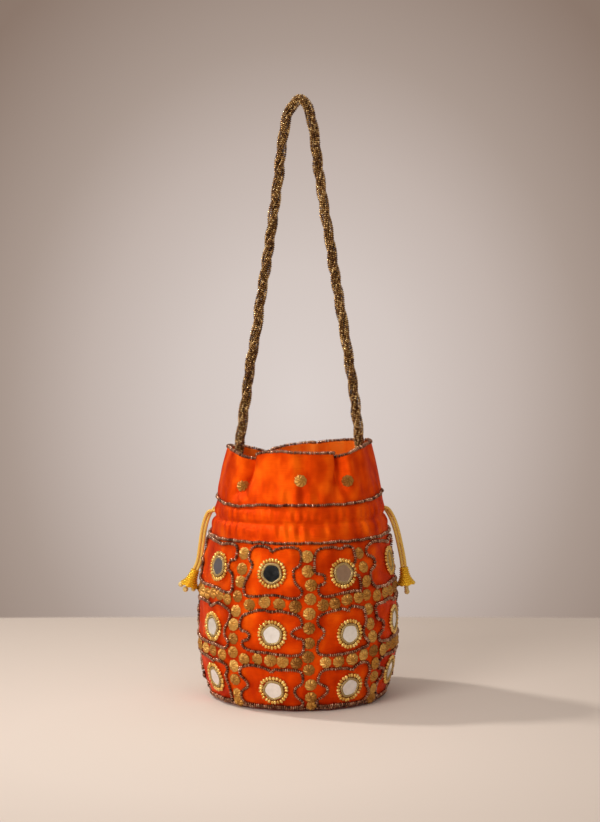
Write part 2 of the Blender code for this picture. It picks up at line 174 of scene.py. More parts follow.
# The gathers under the channel's stitching, likewise, and how far the neck line draws the silk in
GATHER_DROP = 0.0052
GATHER_DEPTH = 0.0019
GATHER_LEAN = 120
NECK_DIP = 0.0006
# Bands round the bag where the silk stands out, or lies in below 0: how far, and the band's middle
# above the stitching and half width
BANDS = (
    (-0.0014, 0.0000, 0.0017),
    (0.0008, 0.0070, 0.0040),
    (0.0006, -0.0060, 0.0045),
)
# Bands that ripple: how far, the band likewise, numbers of waves and seed
RIPPLES = (
    (0.0007, 0.0060, 0.0045, (58, 49, 71), 8),
    (0.0008, 0.0200, 0.0070, (31, 37, 24), 9),
)
# How far the neck stands out at its right side, and lies in at its left one
NECK_BOTTOM = 0.1150
RIGHT_FULLNESS = 0.0024
LEFT_SLACK = 0.0008
# The body puffs out unevenly between its mirrors
PUFF_TOP = 0.1250
PUFF = 0.0008
MIRROR_PULL = 0.0125


def smooth_step(value):
    value = np.clip(value, 0.0, 1.0)
    return value * value * (3 - 2 * value)


def swell(offset, width):
    """A soft hump one high, where the offset is 0."""
    return np.exp(-((offset / width) ** 2))


def turn_from(azimuth, centre):
    """The turn from the centre to the azimuth, from -180 to 180."""
    return (azimuth - centre + 180) % 360 - 180


def unit(vectors):
    """The same directions at length one."""
    return vectors / np.linalg.norm(vectors, axis=-1, keepdims=True)


def angles(count):
    """That many even angles round a circle."""
    return np.arange(count) * 2 * math.pi / count


def reach_along(line):
    """How far along a line each of its points is."""
    return np.concatenate([[0], np.cumsum(np.linalg.norm(np.diff(line, axis=0), axis=1))])


def points_at(places, order, line):
    """A line's points at those places, where order holds the places of its own points."""
    return np.stack([np.interp(places, order, values) for values in line.T], axis=-1)


def half_width(height):
    """Half of the bag's width at a height, smooth between the outline's points."""
    outline = SIDE_OUTLINE
    index = 0
    while index < len(outline) - 2 and outline[index + 1][0] < height:
        index += 1
    low, high = outline[index], outline[index + 1]
    part = min(max((height - low[0]) / (high[0] - low[0]), 0.0), 1.0)

    def slope(middle):
        first = outline[max(middle - 1, 0)]
        last = outline[min(middle + 1, len(outline) - 1)]
        return (last[1] - first[1]) / (last[0] - first[0])

    span = high[0] - low[0]
    return (
        low[1] * (1 - smooth_step(part))
        + high[1] * smooth_step(part)
        + slope(index) * span * part * (1 - part) ** 2
        - slope(index + 1) * span * part**2 * (1 - part)
    )


WIDTH_HEIGHTS = np.linspace(SIDE_OUTLINE[0][0], SIDE_OUTLINE[-1][0], 400)
WIDTHS = np.array([half_width(height) for height in WIDTH_HEIGHTS])


class Round:
    """A smooth closed line of heights round the bag."""

    def __init__(self, points, softness):
        azimuths, heights = np.array(points, float).T
        self.azimuths = np.arange(-180.0, 180.0, 1.0)
        sharp = np.interp(self.azimuths, azimuths, heights, period=360)
        steps = np.arange(-30, 31)
        weights = np.exp(-((steps / softness) ** 2))
        rolled = [np.roll(sharp, step) * weight for step, weight in zip(steps, weights)]
        self.heights = np.sum(rolled, axis=0) / weights.sum()

    def at(self, azimuth):
        return np.interp(azimuth, self.azimuths, self.heights, period=360)


rim_line = Round(RIM_LINE, 3.0)
neck_line = Round(NECK_LINE, 7.0)
body_line = Round(BODY_LINE, 10.0)
stitch_line = Round(STITCH_LINE, 20.0)
upper_row = Round(UPPER_ROW_LINE, 3.0)
lower_row = Round(LOWER_ROW_LINE, 3.0)


def waves(azimuth, counts, seed):
    """An uneven ripple round the bag, made of whole numbers of waves."""
    drawn = random.Random(seed)
    total = 0.0
    for count in counts:
        total = total + np.sin(np.radians(azimuth) * count + drawn.uniform(0, 2 * math.pi))
    return total / len(counts)


def nearest_mirror(azimuth, height):
    """How near a point is to a mirror, from 0 to 1 at its centre."""
    near = 0.0
    width = np.interp(height, WIDTH_HEIGHTS, WIDTHS)
    for row in MIRROR_PLACES.values():
        for turn, level in row:
            across = np.radians(turn_from(azimuth, turn)) * width
            near = np.maximum(near, swell(np.hypot(across, height - level), MIRROR_PULL))
    return near


def string_azimuth(index, height):
    """Where a string of buttons is at a height."""
    top, base = STRINGS[index]
    return base + (top - base) * np.clip(height / STRING_TOP, 0.0, 1.0)


def ruffle_relief(azimuth, height):
    """The ruffle's folds, its ripple and the creases at its foot."""
    fold_in = smooth_step((height - FOLD_BOTTOM) / (FOLD_TOP - FOLD_BOTTOM))
    out = 0.0
    for rim, neck, depth, width, _side, _lap in FOLDS:
        turn = turn_from(azimuth, neck + (rim - neck) * fold_in)
        out = out - depth * fold_in**0.8 * swell(turn, width)
    ruffle = smooth_step((height - RUFFLE_BOTTOM) / 0.02)
    out = out + RUFFLE_RIPPLE * ruffle * waves(azimuth, (9, 13, 17, 22), 3)
    leaning = azimuth + (height - RIM_HEIGHT) * CREASE_LEAN
    creases = waves(leaning, (26, 33, 41, 19), 4) * swell(height - CREASE_HEIGHT, 0.0085)
    return out + CREASE_DEPTH * creases * (0.6 + 0.4 * waves(azimuth, (3, 5), 6))


def channel_relief(azimuth, height):
    """The gathers under the channel's stitching, and the bands about it and the neck line."""
    above = height - stitch_line.at(azimuth)
    uneven = 0.65 + 0.5 * waves(azimuth, (4, 7, 10), 7)
    gathers = waves(azimuth + above * GATHER_LEAN, (46, 53, 61, 38), 5) * uneven
    out = GATHER_DEPTH * gathers * swell(above + GATHER_DROP, 0.0050)
    for size, middle, width, counts, seed in RIPPLES:
        out = out + size * waves(azimuth, counts, seed) * swell(above - middle, width)
    for size, middle, width in BANDS:
        out = out + size * swell(above - middle, width)
    return out - NECK_DIP * swell(height - neck_line.at(azimuth), 0.0018)


def body_relief(azimuth, height):
    """The neck's fuller and slacker sides, and the body's puffs between its mirrors."""
    neck = smooth_step((height - NECK_BOTTOM) / 0.022)
    out = neck * RIGHT_FULLNESS * swell(turn_from(azimuth, 92), 42)
    out = out - neck * LEFT_SLACK * swell(turn_from(azimuth, -90), 40)
    body = 1 - smooth_step((height - PUFF_TOP) / 0.010)
    puff = waves(azimuth, (11, 17, 26), 12) * np.sin(height * 150 + 1.3)
    puff = puff + waves(azimuth, (19, 29), 13) * np.sin(height * 310 + 0.4)
    return out + PUFF * puff * body * (1 - nearest_mirror(azimuth, height))


def stand_out(azimuth, height):
    """How far the silk stands out from its smooth form."""
    reliefs = (ruffle_relief, channel_relief, body_relief)
    return sum(relief(azimuth, height) for relief in reliefs)


def slide(azimuth, height):
    """How far the silk is pushed round the bag, so that a fold's edge laps over its valley."""
    fold_in = smooth_step((height - FOLD_BOTTOM - 0.006) / (FOLD_TOP - FOLD_BOTTOM))
    along = 0.0
    for rim, neck, _depth, width, side, lap in FOLDS:
        turn = turn_from(azimuth, neck + (rim - neck) * fold_in)
        tuck = swell(turn, width * 0.8) - swell(turn - side * width * 1.5, width)
        along = along + side * lap * 0.001 * fold_in * tuck
    return along


def silk_points(azimuth, height, inset=0.0, lap=1.0):
    """Points of the outer silk, or that far inside it."""
    azimuth, height = np.broadcast_arrays(
        np.asarray(azimuth, float), np.asarray(height, float)
    )
    width = np.interp(height, WIDTH_HEIGHTS, WIDTHS)
    rise = smooth_step((height - SHOULDER_HEIGHT) / (RIM_HEIGHT - SHOULDER_HEIGHT))
    depth = width * (1 - MOUTH_FLATNESS * rise)
    sine, cosine = np.sin(np.radians(azimuth)), np.cos(np.radians(azimuth))
    outward = unit(np.stack([depth * sine, -width * cosine], axis=-1))
    along = np.stack([-outward[..., 1], outward[..., 0]], axis=-1)
    flat = np.stack([width * sine, -depth * cosine], axis=-1)
    stand = stand_out(azimuth, height) - inset
    flat = flat + stand[..., None] * outward
    flat = flat + (lap * slide(azimuth, height))[..., None] * along
    above = np.maximum(height - RUFFLE_BOTTOM, 0.0)
    stretch = (rim_line.at(azimuth) - RUFFLE_BOTTOM) / (RIM_HEIGHT - RUFFLE_BOTTOM)
    level = np.where(height > RUFFLE_BOTTOM, RUFFLE_BOTTOM + above * stretch, height)
    return np.concatenate([flat, level[..., None]], axis=-1)


def silk_normals(azimuth, height):
    """The silk's outward directions."""
    around = silk_points(azimuth + 0.4, height) - silk_points(azimuth - 0.4, height)
    up = silk_points(azimuth, height + 0.0006) - silk_points(azimuth, height - 0.0006)
    return unit(np.cross(around, up))


# --- Mesh tools ---------------------------------------------------------------------------------
def mesh_piece(name, points, faces, material, uv=None, tone=None):
    """A mesh object from arrays; faces is a list of arrays with 3, 4 or more corners each."""
    mesh = bpy.data.meshes.new(name)
    corners = np.concatenate([np.asarray(group).reshape(-1) for group in faces])
    sizes = np.concatenate([np.full(len(group), np.shape(group)[1]) for group in faces])
    mesh.vertices.add(len(points))
    mesh.vertices.foreach_set("co", np.asarray(points, np.float32).reshape(-1))
    mesh.loops.add(len(corners))
    mesh.loops.foreach_set("vertex_index", corners.astype(np.int32))
    mesh.polygons.add(len(sizes))
    starts = np.concatenate([[0], np.cumsum(sizes)[:-1]])
    mesh.polygons.foreach_set("loop_start", starts.astype(np.int32))
    mesh.polygons.foreach_set("loop_total", sizes.astype(np.int32))
    mesh.update(calc_edges=True)
    mesh.validate()
    if uv is not None:
        layer = mesh.uv_layers.new(name="UVMap")
        layer.data.foreach_set("uv", np.asarray(uv, np.float32)[corners].reshape(-1))
    if tone is not None:
        attribute = mesh.attributes.new("tone", "FLOAT", "POINT")
        attribute.data.foreach_set("value", np.asarray(tone, np.float32))
    mesh.shade_smooth()
    mesh.materials.append(material)
    obj = bpy.data.objects.new(name, mesh)
    bpy.context.scene.collection.objects.link(obj)
    return obj


def grid_faces(rows, columns, closed=True):
    """Quads of a grid of points stored row by row, closed round each row or not."""
    across = columns if closed else columns - 1
    row, column = np.meshgrid(np.arange(rows - 1), np.arange(across), indexing="ij")
    after = (column + 1) % columns
    low, high = row * columns, (row + 1) * columns
    quads = np.stack([low + column, low + after, high + after, high + column], axis=-1)
    return quads.reshape(-1, 4)


def turned_form(profile, sides):
    """A closed form turned about its own X from (place along, radius) pairs, as points and faces."""
    angle = angles(sides)
    rings = [
        np.stack([np.full(sides, place), radius * np.cos(angle), radius * np.sin(angle)], axis=-1)
        for place, radius in profile
    ]
    quads = grid_faces(len(profile), sides)
    first = np.arange(sides)[::-1].reshape(1, -1)
    last = (np.arange(sides) + sides * (len(profile) - 1)).reshape(1, -1)
    return np.concatenate(rings), [quads, np.concatenate([first, last])]


def ball_form(first, last, rings, sides):
    """A ball one across, from one angle at its pole to another."""
    steps = np.linspace(first, last, rings)
    return turned_form([(-0.5 * math.cos(step), 0.5 * math.sin(step)) for step in steps], sides)


def scatter(form, places, axes, ups, scales, tones):
    """Copies of a form at each place, its X along each axis and its Z towards each up."""
    points, faces = form
    axes = unit(axes)
    sides = unit(np.cross(ups, axes))
    ups = np.cross(axes, sides)
    local = points[None, :, :] * np.asarray(scales)[:, None, :]
    made = (
        places[:, None, :]
        + local[..., 0:1] * axes[:, None, :]
        + local[..., 1:2] * sides[:, None, :]
        + local[..., 2:3] * ups[:, None, :]
    )
    shift = np.arange(len(places))[:, None, None] * len(points)
    copied = [(group[None] + shift).reshape(-1, group.shape[1]) for group in faces]
    return made.reshape(-1, 3), copied, np.repeat(tones, len(points))


def joined(parts):
    """Several (points, faces, tones) as one."""
    points, faces, tones, start = [], [], [], 0
    for part_points, part_faces, part_tones in parts:
        points.append(part_points)
        faces.extend(group + start for group in part_faces)
        tones.append(part_tones)
        start += len(part_points)
    return np.concatenate(points), faces, np.concatenate(tones)


def evenly(points, pitch, closed):
    """Parameters from 0 to len(points) - 1 (or len(points), closed) at even distances."""
    line = np.concatenate([points, points[:1]]) if closed else points
    reach = reach_along(line)
    count = max(int(round(reach[-1] / pitch)), 2)
    first = 0 if closed else reach[-1] / count / 2
    return np.interp(np.arange(count) * reach[-1] / count + first, reach, np.arange(len(line)))


def curve_between(before, start, end, after, part):
    """The smooth curve from start to end at each part of the way, bent by its neighbours."""
    return 0.5 * (
        2 * start
        + (end - before) * part
        + (2 * before - 5 * start + 4 * end - after) * part**2
        + (3 * start - before - 3 * end + after) * part**3
    )


def smooth_route(points, count):
    """That many points, evenly spaced, along the smooth curve through the points."""
    points = np.asarray(points, float)
    padded = np.concatenate([points[:1], points, points[-1:]])
    part = np.linspace(0, 1, 24, endpoint=False)[:, None]
    fours = zip(padded, padded[1:], padded[2:], padded[3:])
    fine = np.concatenate([*(curve_between(*four, part) for four in fours), points[-1:]])
    reach = reach_along(fine)
    return points_at(np.linspace(0, reach[-1], count), reach, fine)


def smooth_loop(points, count):
    """That many points, evenly spaced in turn, along the smooth closed curve through the points."""
    points = np.asarray(points, float)
    places = np.arange(count) * len(points) / count
    index = places.astype(int)
    four = (points[(index + step) % len(points)] for step in (-1, 0, 1, 2))
    return curve_between(*four, (places - index)[:, None])


# --- Materials ----------------------------------------------------------------------------------
def set_sockets(node, values):
    """Set a node's sockets by name, with spaces as underscores."""
    for socket, value in values.items():
        node.inputs[socket.replace("_", " ")].default_value = value


def new_shader(name, **values):
    """A Principled material, its tree and its shader."""
    material = bpy.data.materials.new(name)
    material.use_nodes = True
    shader = material.node_tree.nodes["Principled BSDF"]
    set_sockets(shader, values)
    return material, material.node_tree, shader


def add_node(tree, kind, **values):
    node = tree.nodes.new(kind)
    set_sockets(node, values)
    return node


def uv_place(tree):
    return tree.nodes.new("ShaderNodeUVMap").outputs["UV"]


def object_place(tree):
    return tree.nodes.new("ShaderNodeTexCoord").outputs["Object"]


def add_ramp(tree, source, stops):
    """A colour ramp fed by a socket; stops are (place, colour) pairs."""
    ramp = tree.nodes.new("ShaderNodeValToRGB")
    elements = ramp.color_ramp.elements
    while len(elements) < len(stops):
        elements.new(0.5)
    for element, (place, colour) in zip(elements, stops):
        element.position = place
        element.color = (*colour, 1.0)
    tree.links.new(source, ramp.inputs["Fac"])
    return ramp.outputs["Color"]


def paint(tree, shader, tone, stops):
    """Colour a shader by a ramp over its tone."""
    tree.links.new(add_ramp(tree, tone, stops), shader.inputs["Base Color"])


def add_noise(tree, vector, scale, detail, stretch=(1.0, 1.0, 1.0)):
    mapping = tree.nodes.new("ShaderNodeMapping")
    mapping.inputs["Scale"].default_value = stretch
    tree.links.new(vector, mapping.inputs["Vector"])
    noise = add_node(tree, "ShaderNodeTexNoise", Scale=scale, Detail=detail)
    tree.links.new(mapping.outputs["Vector"], noise.inputs["Vector"])
    return noise.outputs["Fac"]


def add_threads(tree, vector, scale, direction):
    """Fine parallel threads across X or Y, or aslant."""
    wave = add_node(
        tree, "ShaderNodeTexWave", Scale=scale, Distortion=1.2, Detail=2.0, Detail_Scale=0.6
    )
    wave.bands_direction = direction
    tree.links.new(vector, wave.inputs["Vector"])
    return wave.outputs["Fac"]


def combine(tree, operation, first, second):
    node = tree.nodes.new("ShaderNodeMath")
    node.operation = operation
    for socket, value in zip(node.inputs, (first, second)):
        if isinstance(value, (int, float)):
            socket.default_value = value
        else:
            tree.links.new(value, socket)
    return node.outputs["Value"]


def weighted(tree, *terms):
    """The sum of some sockets, each times its weight."""
    products = [combine(tree, "MULTIPLY", source, weight) for source, weight in terms]
    total = products[0]
    for product in products[1:]:
        total = combine(tree, "ADD", total, product)
    return total


def vector_math(tree, operation, first, second=None):
    """The outputs of an operation on a socket and, for most, a constant."""
    node = tree.nodes.new("ShaderNodeVectorMath")
    node.operation = operation
    tree.links.new(first, node.inputs[0])
    if second is not None:
        node.inputs[1].default_value = second
    return node.outputs


def add_bump(tree, shader, height, strength, distance):
    bump = add_node(tree, "ShaderNodeBump", Strength=strength, Distance=distance)
    tree.links.new(height, bump.inputs["Height"])
    tree.links.new(bump.outputs["Normal"], shader.inputs["Normal"])


def remap(tree, source, low, high, span=(0.0, 1.0), kind="LINEAR"):
    """A socket's value carried from its span to the range from low to high."""
    node = tree.nodes.new("ShaderNodeMapRange")
    node.interpolation_type = kind
    ends = {"From_Min": span[0], "From_Max": span[1], "To_Min": low, "To_Max": high}
    set_sockets(node, ends)
    tree.links.new(source, node.inputs["Value"])
    return node.outputs["Result"]


def roughen(tree, shader, source, low, high):
    """Vary a shader's roughness from low to high."""
    tree.links.new(remap(tree, source, low, high), shader.inputs["Roughness"])


# Painted shade on the silk of the body: it is painted darker below the first height and grows
# lighter up to the second
BODY_SHADE_HEIGHTS = (0.100, 0.140)
BODY_PAINTED_SHADE = 0.045

def silk_material(name, deep, middle, bright, roughness, metallic):
    """Dupion silk: a fine weave with slubs, soft streaks and clouds of tone that are partly the
    silk's own and partly painted satin highlights, and a satin sheen.
    """
    material, tree, shader = new_shader(
        name,
        Metallic=metallic,
        Specular_IOR_Level=0.10,
        Specular_Tint=(1.0, 0.30, 0.08, 1.0),
    )
    place = uv_place(tree)
    streaks_and_sheen = add_noise(tree, place, 1.0, 2.0, stretch=(60.0, 16.0, 1.0))
    slubs = add_noise(tree, place, 1.0, 2.0, stretch=(70.0, 2600.0, 1.0))
    cloud = add_noise(tree, place, 55.0, 2.0)
    sides = tree.nodes.new("ShaderNodeSeparateXYZ")
    tree.links.new(place, sides.inputs["Vector"])
    # Painted shade: the silk's tone is lowered on the body, below the ruffle
    body_shade = remap(tree, sides.outputs["Y"], BODY_PAINTED_SHADE, 0.0, span=BODY_SHADE_HEIGHTS)
    # The streaks and clouds are partly the silk's own tone and partly painted satin highlights and
    # shade; the bright stop is partly a painted highlight colour
    tone = weighted(tree, (streaks_and_sheen, 0.38), (slubs, 0.12), (cloud, 0.51))
    tone = combine(tree, "SUBTRACT", tone, body_shade)
    paint(tree, shader, tone, ((0.36, deep), (0.50, middle), (0.64, bright)))
    roughen(tree, shader, slubs, roughness - 0.06, roughness + 0.08)
    warp = add_threads(tree, place, 900.0, "X")
    weft = add_threads(tree, place, 1100.0, "Y")
    weave = combine(tree, "ADD", warp, weft)
    height = weighted(tree, (weave, 0.35), (slubs, 1.0), (streaks_and_sheen, 0.8))
    add_bump(tree, shader, height, 0.25, 0.0005)
    return material


def bead_material(name, stops, metallic, roughness, coat):
    """Glass or metal beads whose colour changes from bead to bead."""
    material, tree, shader = new_shader(
        name, Metallic=metallic, Coat_Weight=coat, Coat_Roughness=0.08
    )
    attribute = tree.nodes.new("ShaderNodeAttribute")
    attribute.attribute_name = "tone"
    grain = add_noise(tree, object_place(tree), 900.0, 2.0)
    tone = weighted(tree, (attribute.outputs["Fac"], 1.0), (grain, 0.30))
    tone = combine(tree, "SUBTRACT", tone, 0.15)
    paint(tree, shader, tone, stops)
    roughen(tree, shader, grain, roughness - 0.08, roughness + 0.10)
    return material


def thread_material(name, dark, light, roughness, scale, metallic=0.0, relief=0.45):
    """Wound or twisted thread: fine ribs along the piece's own UV."""
    material, tree, shader = new_shader(
        name,
        Metallic=metallic,
        Sheen_Weight=0.1,
        Sheen_Roughness=0.3,
        Sheen_Tint=(1.0, 0.75, 0.3, 1.0),
        Specular_IOR_Level=0.5,
        Specular_Tint=(1.0, 0.80, 0.45, 1.0),
    )
    place = uv_place(tree)
    ribs = add_threads(tree, place, scale, "DIAGONAL")
    cloud = add_noise(tree, place, 400.0, 3.0)
    tone = weighted(tree, (ribs, 0.55), (cloud, 0.45))
    paint(tree, shader, tone, ((0.2, dark), (0.75, light)))
    roughen(tree, shader, cloud, roughness - 0.08, roughness + 0.08)
    add_bump(tree, shader, ribs, relief, 0.0004)
    return material


def mirror_material():
    """Small cut mirrors with a faint tarnish."""
    material, tree, shader = new_shader(
        "mirror_glass", Metallic=1.0, Coat_Weight=0.4, Coat_Roughness=0.02
    )
    cloud = add_noise(tree, object_place(tree), 260.0, 4.0)
    paint(tree, shader, cloud, ((0.30, (0.85, 0.84, 0.81)), (0.60, (0.96, 0.96, 0.94))))
    roughen(tree, shader, cloud, 0.03, 0.12)
    return material


def board_material():
    """Grey straw board with short fibres."""
    material, tree, shader = new_shader("straw_board", Roughness=0.9)
    fibres = add_noise(tree, object_place(tree), 1.0, 6.0, stretch=(500.0, 1800.0, 500.0))
    paint(tree, shader, fibres, ((0.35, (0.36, 0.30, 0.22)), (0.65, (0.56, 0.49, 0.38))))
    add_bump(tree, shader, fibres, 0.4, 0.0004)
    return material


ORANGE_SILK = silk_material(
    "orange_silk", (0.50, 0.026, 0.0008), (0.76, 0.060, 0.0014), (1.0, 0.138, 0.0040), 0.38, 0.45
)
LINING_SILK = silk_material(
    "lining_silk", (0.92, 0.110, 0.0060), (1.0, 0.180, 0.0120), (1.0, 0.240, 0.0240), 0.42, 0.0
)
BRONZE_STOPS = (
    (0.05, (0.070, 0.018, 0.006)),
    (0.35, (0.210, 0.075, 0.032)),
    (0.70, (0.380, 0.175, 0.090)),
    (1.00, (0.660, 0.410, 0.270)),
)
ROPE_STOPS = (
    (0.05, (0.060, 0.018, 0.004)),
    (0.40, (0.200, 0.085, 0.018)),
    (0.72, (0.430, 0.240, 0.070)),
    (1.00, (0.850, 0.600, 0.270)),
)
GILT_STOPS = (
    (0.10, (0.330, 0.125, 0.014)),
    (0.50, (0.520, 0.235, 0.034)),
    (1.00, (0.720, 0.400, 0.090)),
)
GOLD_BEAD_STOPS = (
    (0.10, (0.520, 0.240, 0.030)),
    (0.50, (0.820, 0.460, 0.080)),
    (1.00, (0.980, 0.720, 0.240)),
)
BRONZE_BEADS = bead_material("bronze_beads", BRONZE_STOPS, 0.70, 0.20, 0.25)
ROPE_BEADS = bead_material("rope_beads", ROPE_STOPS, 0.70, 0.24, 0.15)
GILT = bead_material("gilt_buttons", GILT_STOPS, 0.60, 0.40, 0.0)
GOLD_BEADS = bead_material("gold_beads", GOLD_BEAD_STOPS, 0.65, 0.24, 0.2)
SATIN_CORD = thread_material(
    "satin_cord", (0.74, 0.43, 0.070), (0.86, 0.57, 0.130), 0.28, 260.0, relief=0.05
)
GOLD_THREAD = thread_material(
    "gold_thread", (0.66, 0.30, 0.008), (1.00, 0.66, 0.040), 0.26, 420.0, 0.5, relief=0.2
)
PALE_THREAD = thread_material(
    "pale_thread", (0.66, 0.42, 0.10), (1.00, 0.80, 0.36), 0.36, 420.0, 0.2
)
GIMP_THREAD = thread_material(
    "gimp_thread", (0.19, 0.110, 0.035), (0.66, 0.480, 0.210), 0.30, 420.0, 0.6
)
MIRROR = mirror_material()
BOARD = board_material()


# --- Camera and studio --------------------------------------------------------------------------
CAMERA_PLACE = (0.0016, -2.10, 0.465)
CAMERA_PITCH = 6.36
CAMERA_LENS = 115
SENSOR_WIDTH = 36
LIGHT_AIM = (0.0, 0.0, 0.12)
# Cards beside the camera that only the mirrors see: each one's place and colour
CARDS = {
    "dark_card": ((-1.40, -2.20, 0.65), (0.0005, 0.0005, 0.0005)),
    "brown_card": ((2.20, -1.35, 0.55), (0.39, 0.245, 0.155)),
    "grey_card": ((-2.74, 1.07, 0.24), (0.25, 0.22, 0.23)),
}
CARD_SIZE = 0.9
FLOOR_EDGE = 0.334
FLOOR_FADE = 0.012
# Painted pool of light on the table: where it is painted palest, and its painted colour at each
# distance from there, darker further out as painted shade
FLOOR_LIGHT_POOL_CENTRE = (-0.06, -0.16, 0.0)
FLOOR_LIGHT_POOL_STOPS = (
    (0.00, (0.76, 0.67, 0.58)),
    (0.16, (0.73, 0.64, 0.56)),
    (0.40, (0.60, 0.520, 0.450)),
    (0.60, (0.49, 0.418, 0.360)),
    (1.00, (0.42, 0.360, 0.315)),
)
FLOOR_RADIUS = 8.0
FLOOR_THICKNESS = 0.04
# The backdrop's pool of light: where it is brightest, how much it is narrowed, and its colour at
# each turn away from there
POOL_DIRECTION = (0.0, 0.994, -0.107)
POOL_NARROWING = (1.22, 1.0, 1.0)
POOL_STOPS = (
    (0.000, (0.72, 0.640, 0.605)),
    (0.050, (0.66, 0.575, 0.535)),
    (0.097, (0.54, 0.452, 0.408)),
    (0.135, (0.402, 0.320, 0.275)),
    (0.195, (0.260, 0.188, 0.150)),
    (0.330, (0.240, 0.175, 0.140)),
    (0.700, (0.480, 0.430, 0.400)),
)


def make_camera():
    camera = bpy.data.cameras.new("camera")
    camera.lens = CAMERA_LENS
    camera.sensor_width = SENSOR_WIDTH
    obj = bpy.data.objects.new("camera", camera)
    obj.location = CAMERA_PLACE
    obj.rotation_euler = (math.radians(90 - CAMERA_PITCH), 0, 0)
    bpy.context.scene.collection.objects.link(obj)
    bpy.context.scene.camera = obj


def scenery(name, form, material):
    """A mesh object of scenery from a form being edited."""
    mesh = bpy.data.meshes.new(name)
    form.to_mesh(mesh)
    form.free()
    mesh.materials.append(material)
    obj = bpy.data.objects.new(name, mesh)
    bpy.context.scene.collection.objects.link(obj)
    return obj


def make_floor():
    """A pale round table top with a painted pool of light, whose far edge is close behind the bag.
    """
    form = bmesh.new()
    bmesh.ops.create_cone(
        form,
        cap_ends=True,
        segments=256,
        radius1=FLOOR_RADIUS,
        radius2=FLOOR_RADIUS,
        depth=FLOOR_THICKNESS,
    )
    middle = FLOOR_EDGE - FLOOR_RADIUS
    bmesh.ops.translate(form, verts=form.verts, vec=(0, middle, -FLOOR_THICKNESS / 2))
    material, tree, shader = new_shader("floor", Roughness=0.75, Specular_IOR_Level=0.25)
    place = object_place(tree)
    # Painted pool of light: the table's colour grows darker with distance from its centre
    from_light_pool = vector_math(tree, "DISTANCE", place, FLOOR_LIGHT_POOL_CENTRE)["Value"]
    paint(tree, shader, from_light_pool, FLOOR_LIGHT_POOL_STOPS)
    from_middle = vector_math(tree, "DISTANCE", place, (0.0, middle, 0.0))["Value"]
    fade = (FLOOR_RADIUS, FLOOR_RADIUS - FLOOR_FADE)
    solid = remap(tree, from_middle, 0.0, 1.0, span=fade, kind="SMOOTHSTEP")
    tree.links.new(solid, shader.inputs["Alpha"])
    scenery("floor", form, material)


def make_cards():
    for name, (place, colour) in CARDS.items():
        form = bmesh.new()
        bmesh.ops.create_grid(form, x_segments=1, y_segments=1, size=CARD_SIZE / 2)
        material, _tree, _shader = new_shader(
            name, Base_Color=(*colour, 1.0), Roughness=1.0, Specular_IOR_Level=0.0
        )
        card = scenery(name, form, material)
        card.location = place
        card.rotation_euler = (-Vector(place)).to_track_quat("Z", "Y").to_euler()
        for ray in ("camera", "diffuse", "shadow", "transmission", "volume_scatter"):
            setattr(card, f"visible_{ray}", False)


def add_area(name, place, size, energy, colour):
    """A round light aimed at the bag."""
    light = bpy.data.lights.new(name, "AREA")
    light.shape = "DISK"
    light.size = size
    light.energy = energy
    light.color = colour
    obj = bpy.data.objects.new(name, light)
    obj.location = place
    obj.rotation_euler = (Vector(LIGHT_AIM) - Vector(place)).to_track_quat("-Z", "Y").to_euler()
    bpy.context.scene.collection.objects.link(obj)


def make_light():
    add_area("key", (-1.09, 0.39, 1.48), size=0.16, energy=15.0, colour=(1.0, 0.96, 0.92))
    add_area("front", (-1.5, -2.0, 1.35), size=1.40, energy=35.0, colour=(1.0, 0.97, 0.95))
    add_area("top", (0.0, -0.3, 2.0), size=1.30, energy=4.0, colour=(1.0, 0.98, 0.97))


def make_world():
    """A plain backdrop with a soft pool of light behind the bag."""
    world = bpy.data.worlds.new("backdrop")
    bpy.context.scene.world = world
    world.use_nodes = True
    tree = world.node_tree
    background = tree.nodes["Background"]
    direction = tree.nodes.new("ShaderNodeTexCoord").outputs["Generated"]
    offset = vector_math(tree, "SUBTRACT", direction, POOL_DIRECTION)["Vector"]
    narrowed = vector_math(tree, "MULTIPLY", offset, POOL_NARROWING)["Vector"]
    reach = vector_math(tree, "LENGTH", narrowed)["Value"]
    tree.links.new(add_ramp(tree, reach, POOL_STOPS), background.inputs["Color"])
    background.inputs["Strength"].default_value = 1.0
    bpy.context.scene.view_settings.view_transform = "Standard"
    bpy.context.scene.view_settings.look = "None"


# --- Cords and tassels --------------------------------------------------------------------------
CORD_SIDES = 12
CORD_STEPS = 90
CORD_UV_WIDTH = 0.008
BELL_SIDES = 48
BELL_ROWS = 110
BELL_UV_SIZE = 0.03
# The thread wound on a bell's stem: its relief and pitch, and how far down the bell it goes
BELL_RIB = 0.00040
BELL_RIB_PITCH = 0.00170
BELL_RIB_END = 0.62
# The bell's wavy lip: where it starts, its waves outwards and downwards and their number
BELL_LIP_START = 0.0085
BELL_LIP_WAVE = 0.00030
BELL_LIP_DROP = 0.00035
BELL_LIP_WAVES = 9
BELL_CROWN = 0.0002
STEM_SIDES = 8
# The knots in the left bell and how far across each is
KNOT_PLACES = ((-0.0020, 0.0066, -0.0150), (-0.0030, 0.0018, -0.0172), (0.0015, -0.0042, -0.0155))
KNOT_SIZES = (0.0044, 0.0046, 0.0040)
KNOT_STEM_RADIUS = 0.0007
# The right bell's stem of two twisted threads, and the knot at its tip
STEM_CURVE = ((0, 0, -0.0058), (0.0003, 0, -0.0100), (0.0012, 0, -0.0145), (0.0006, 0, -0.0190))
STEM_RADIUS = 0.00105
STEM_TWIST = 0.00085
STEM_HALF_TURNS = 7
TIP_SIZES = (0.0044,)


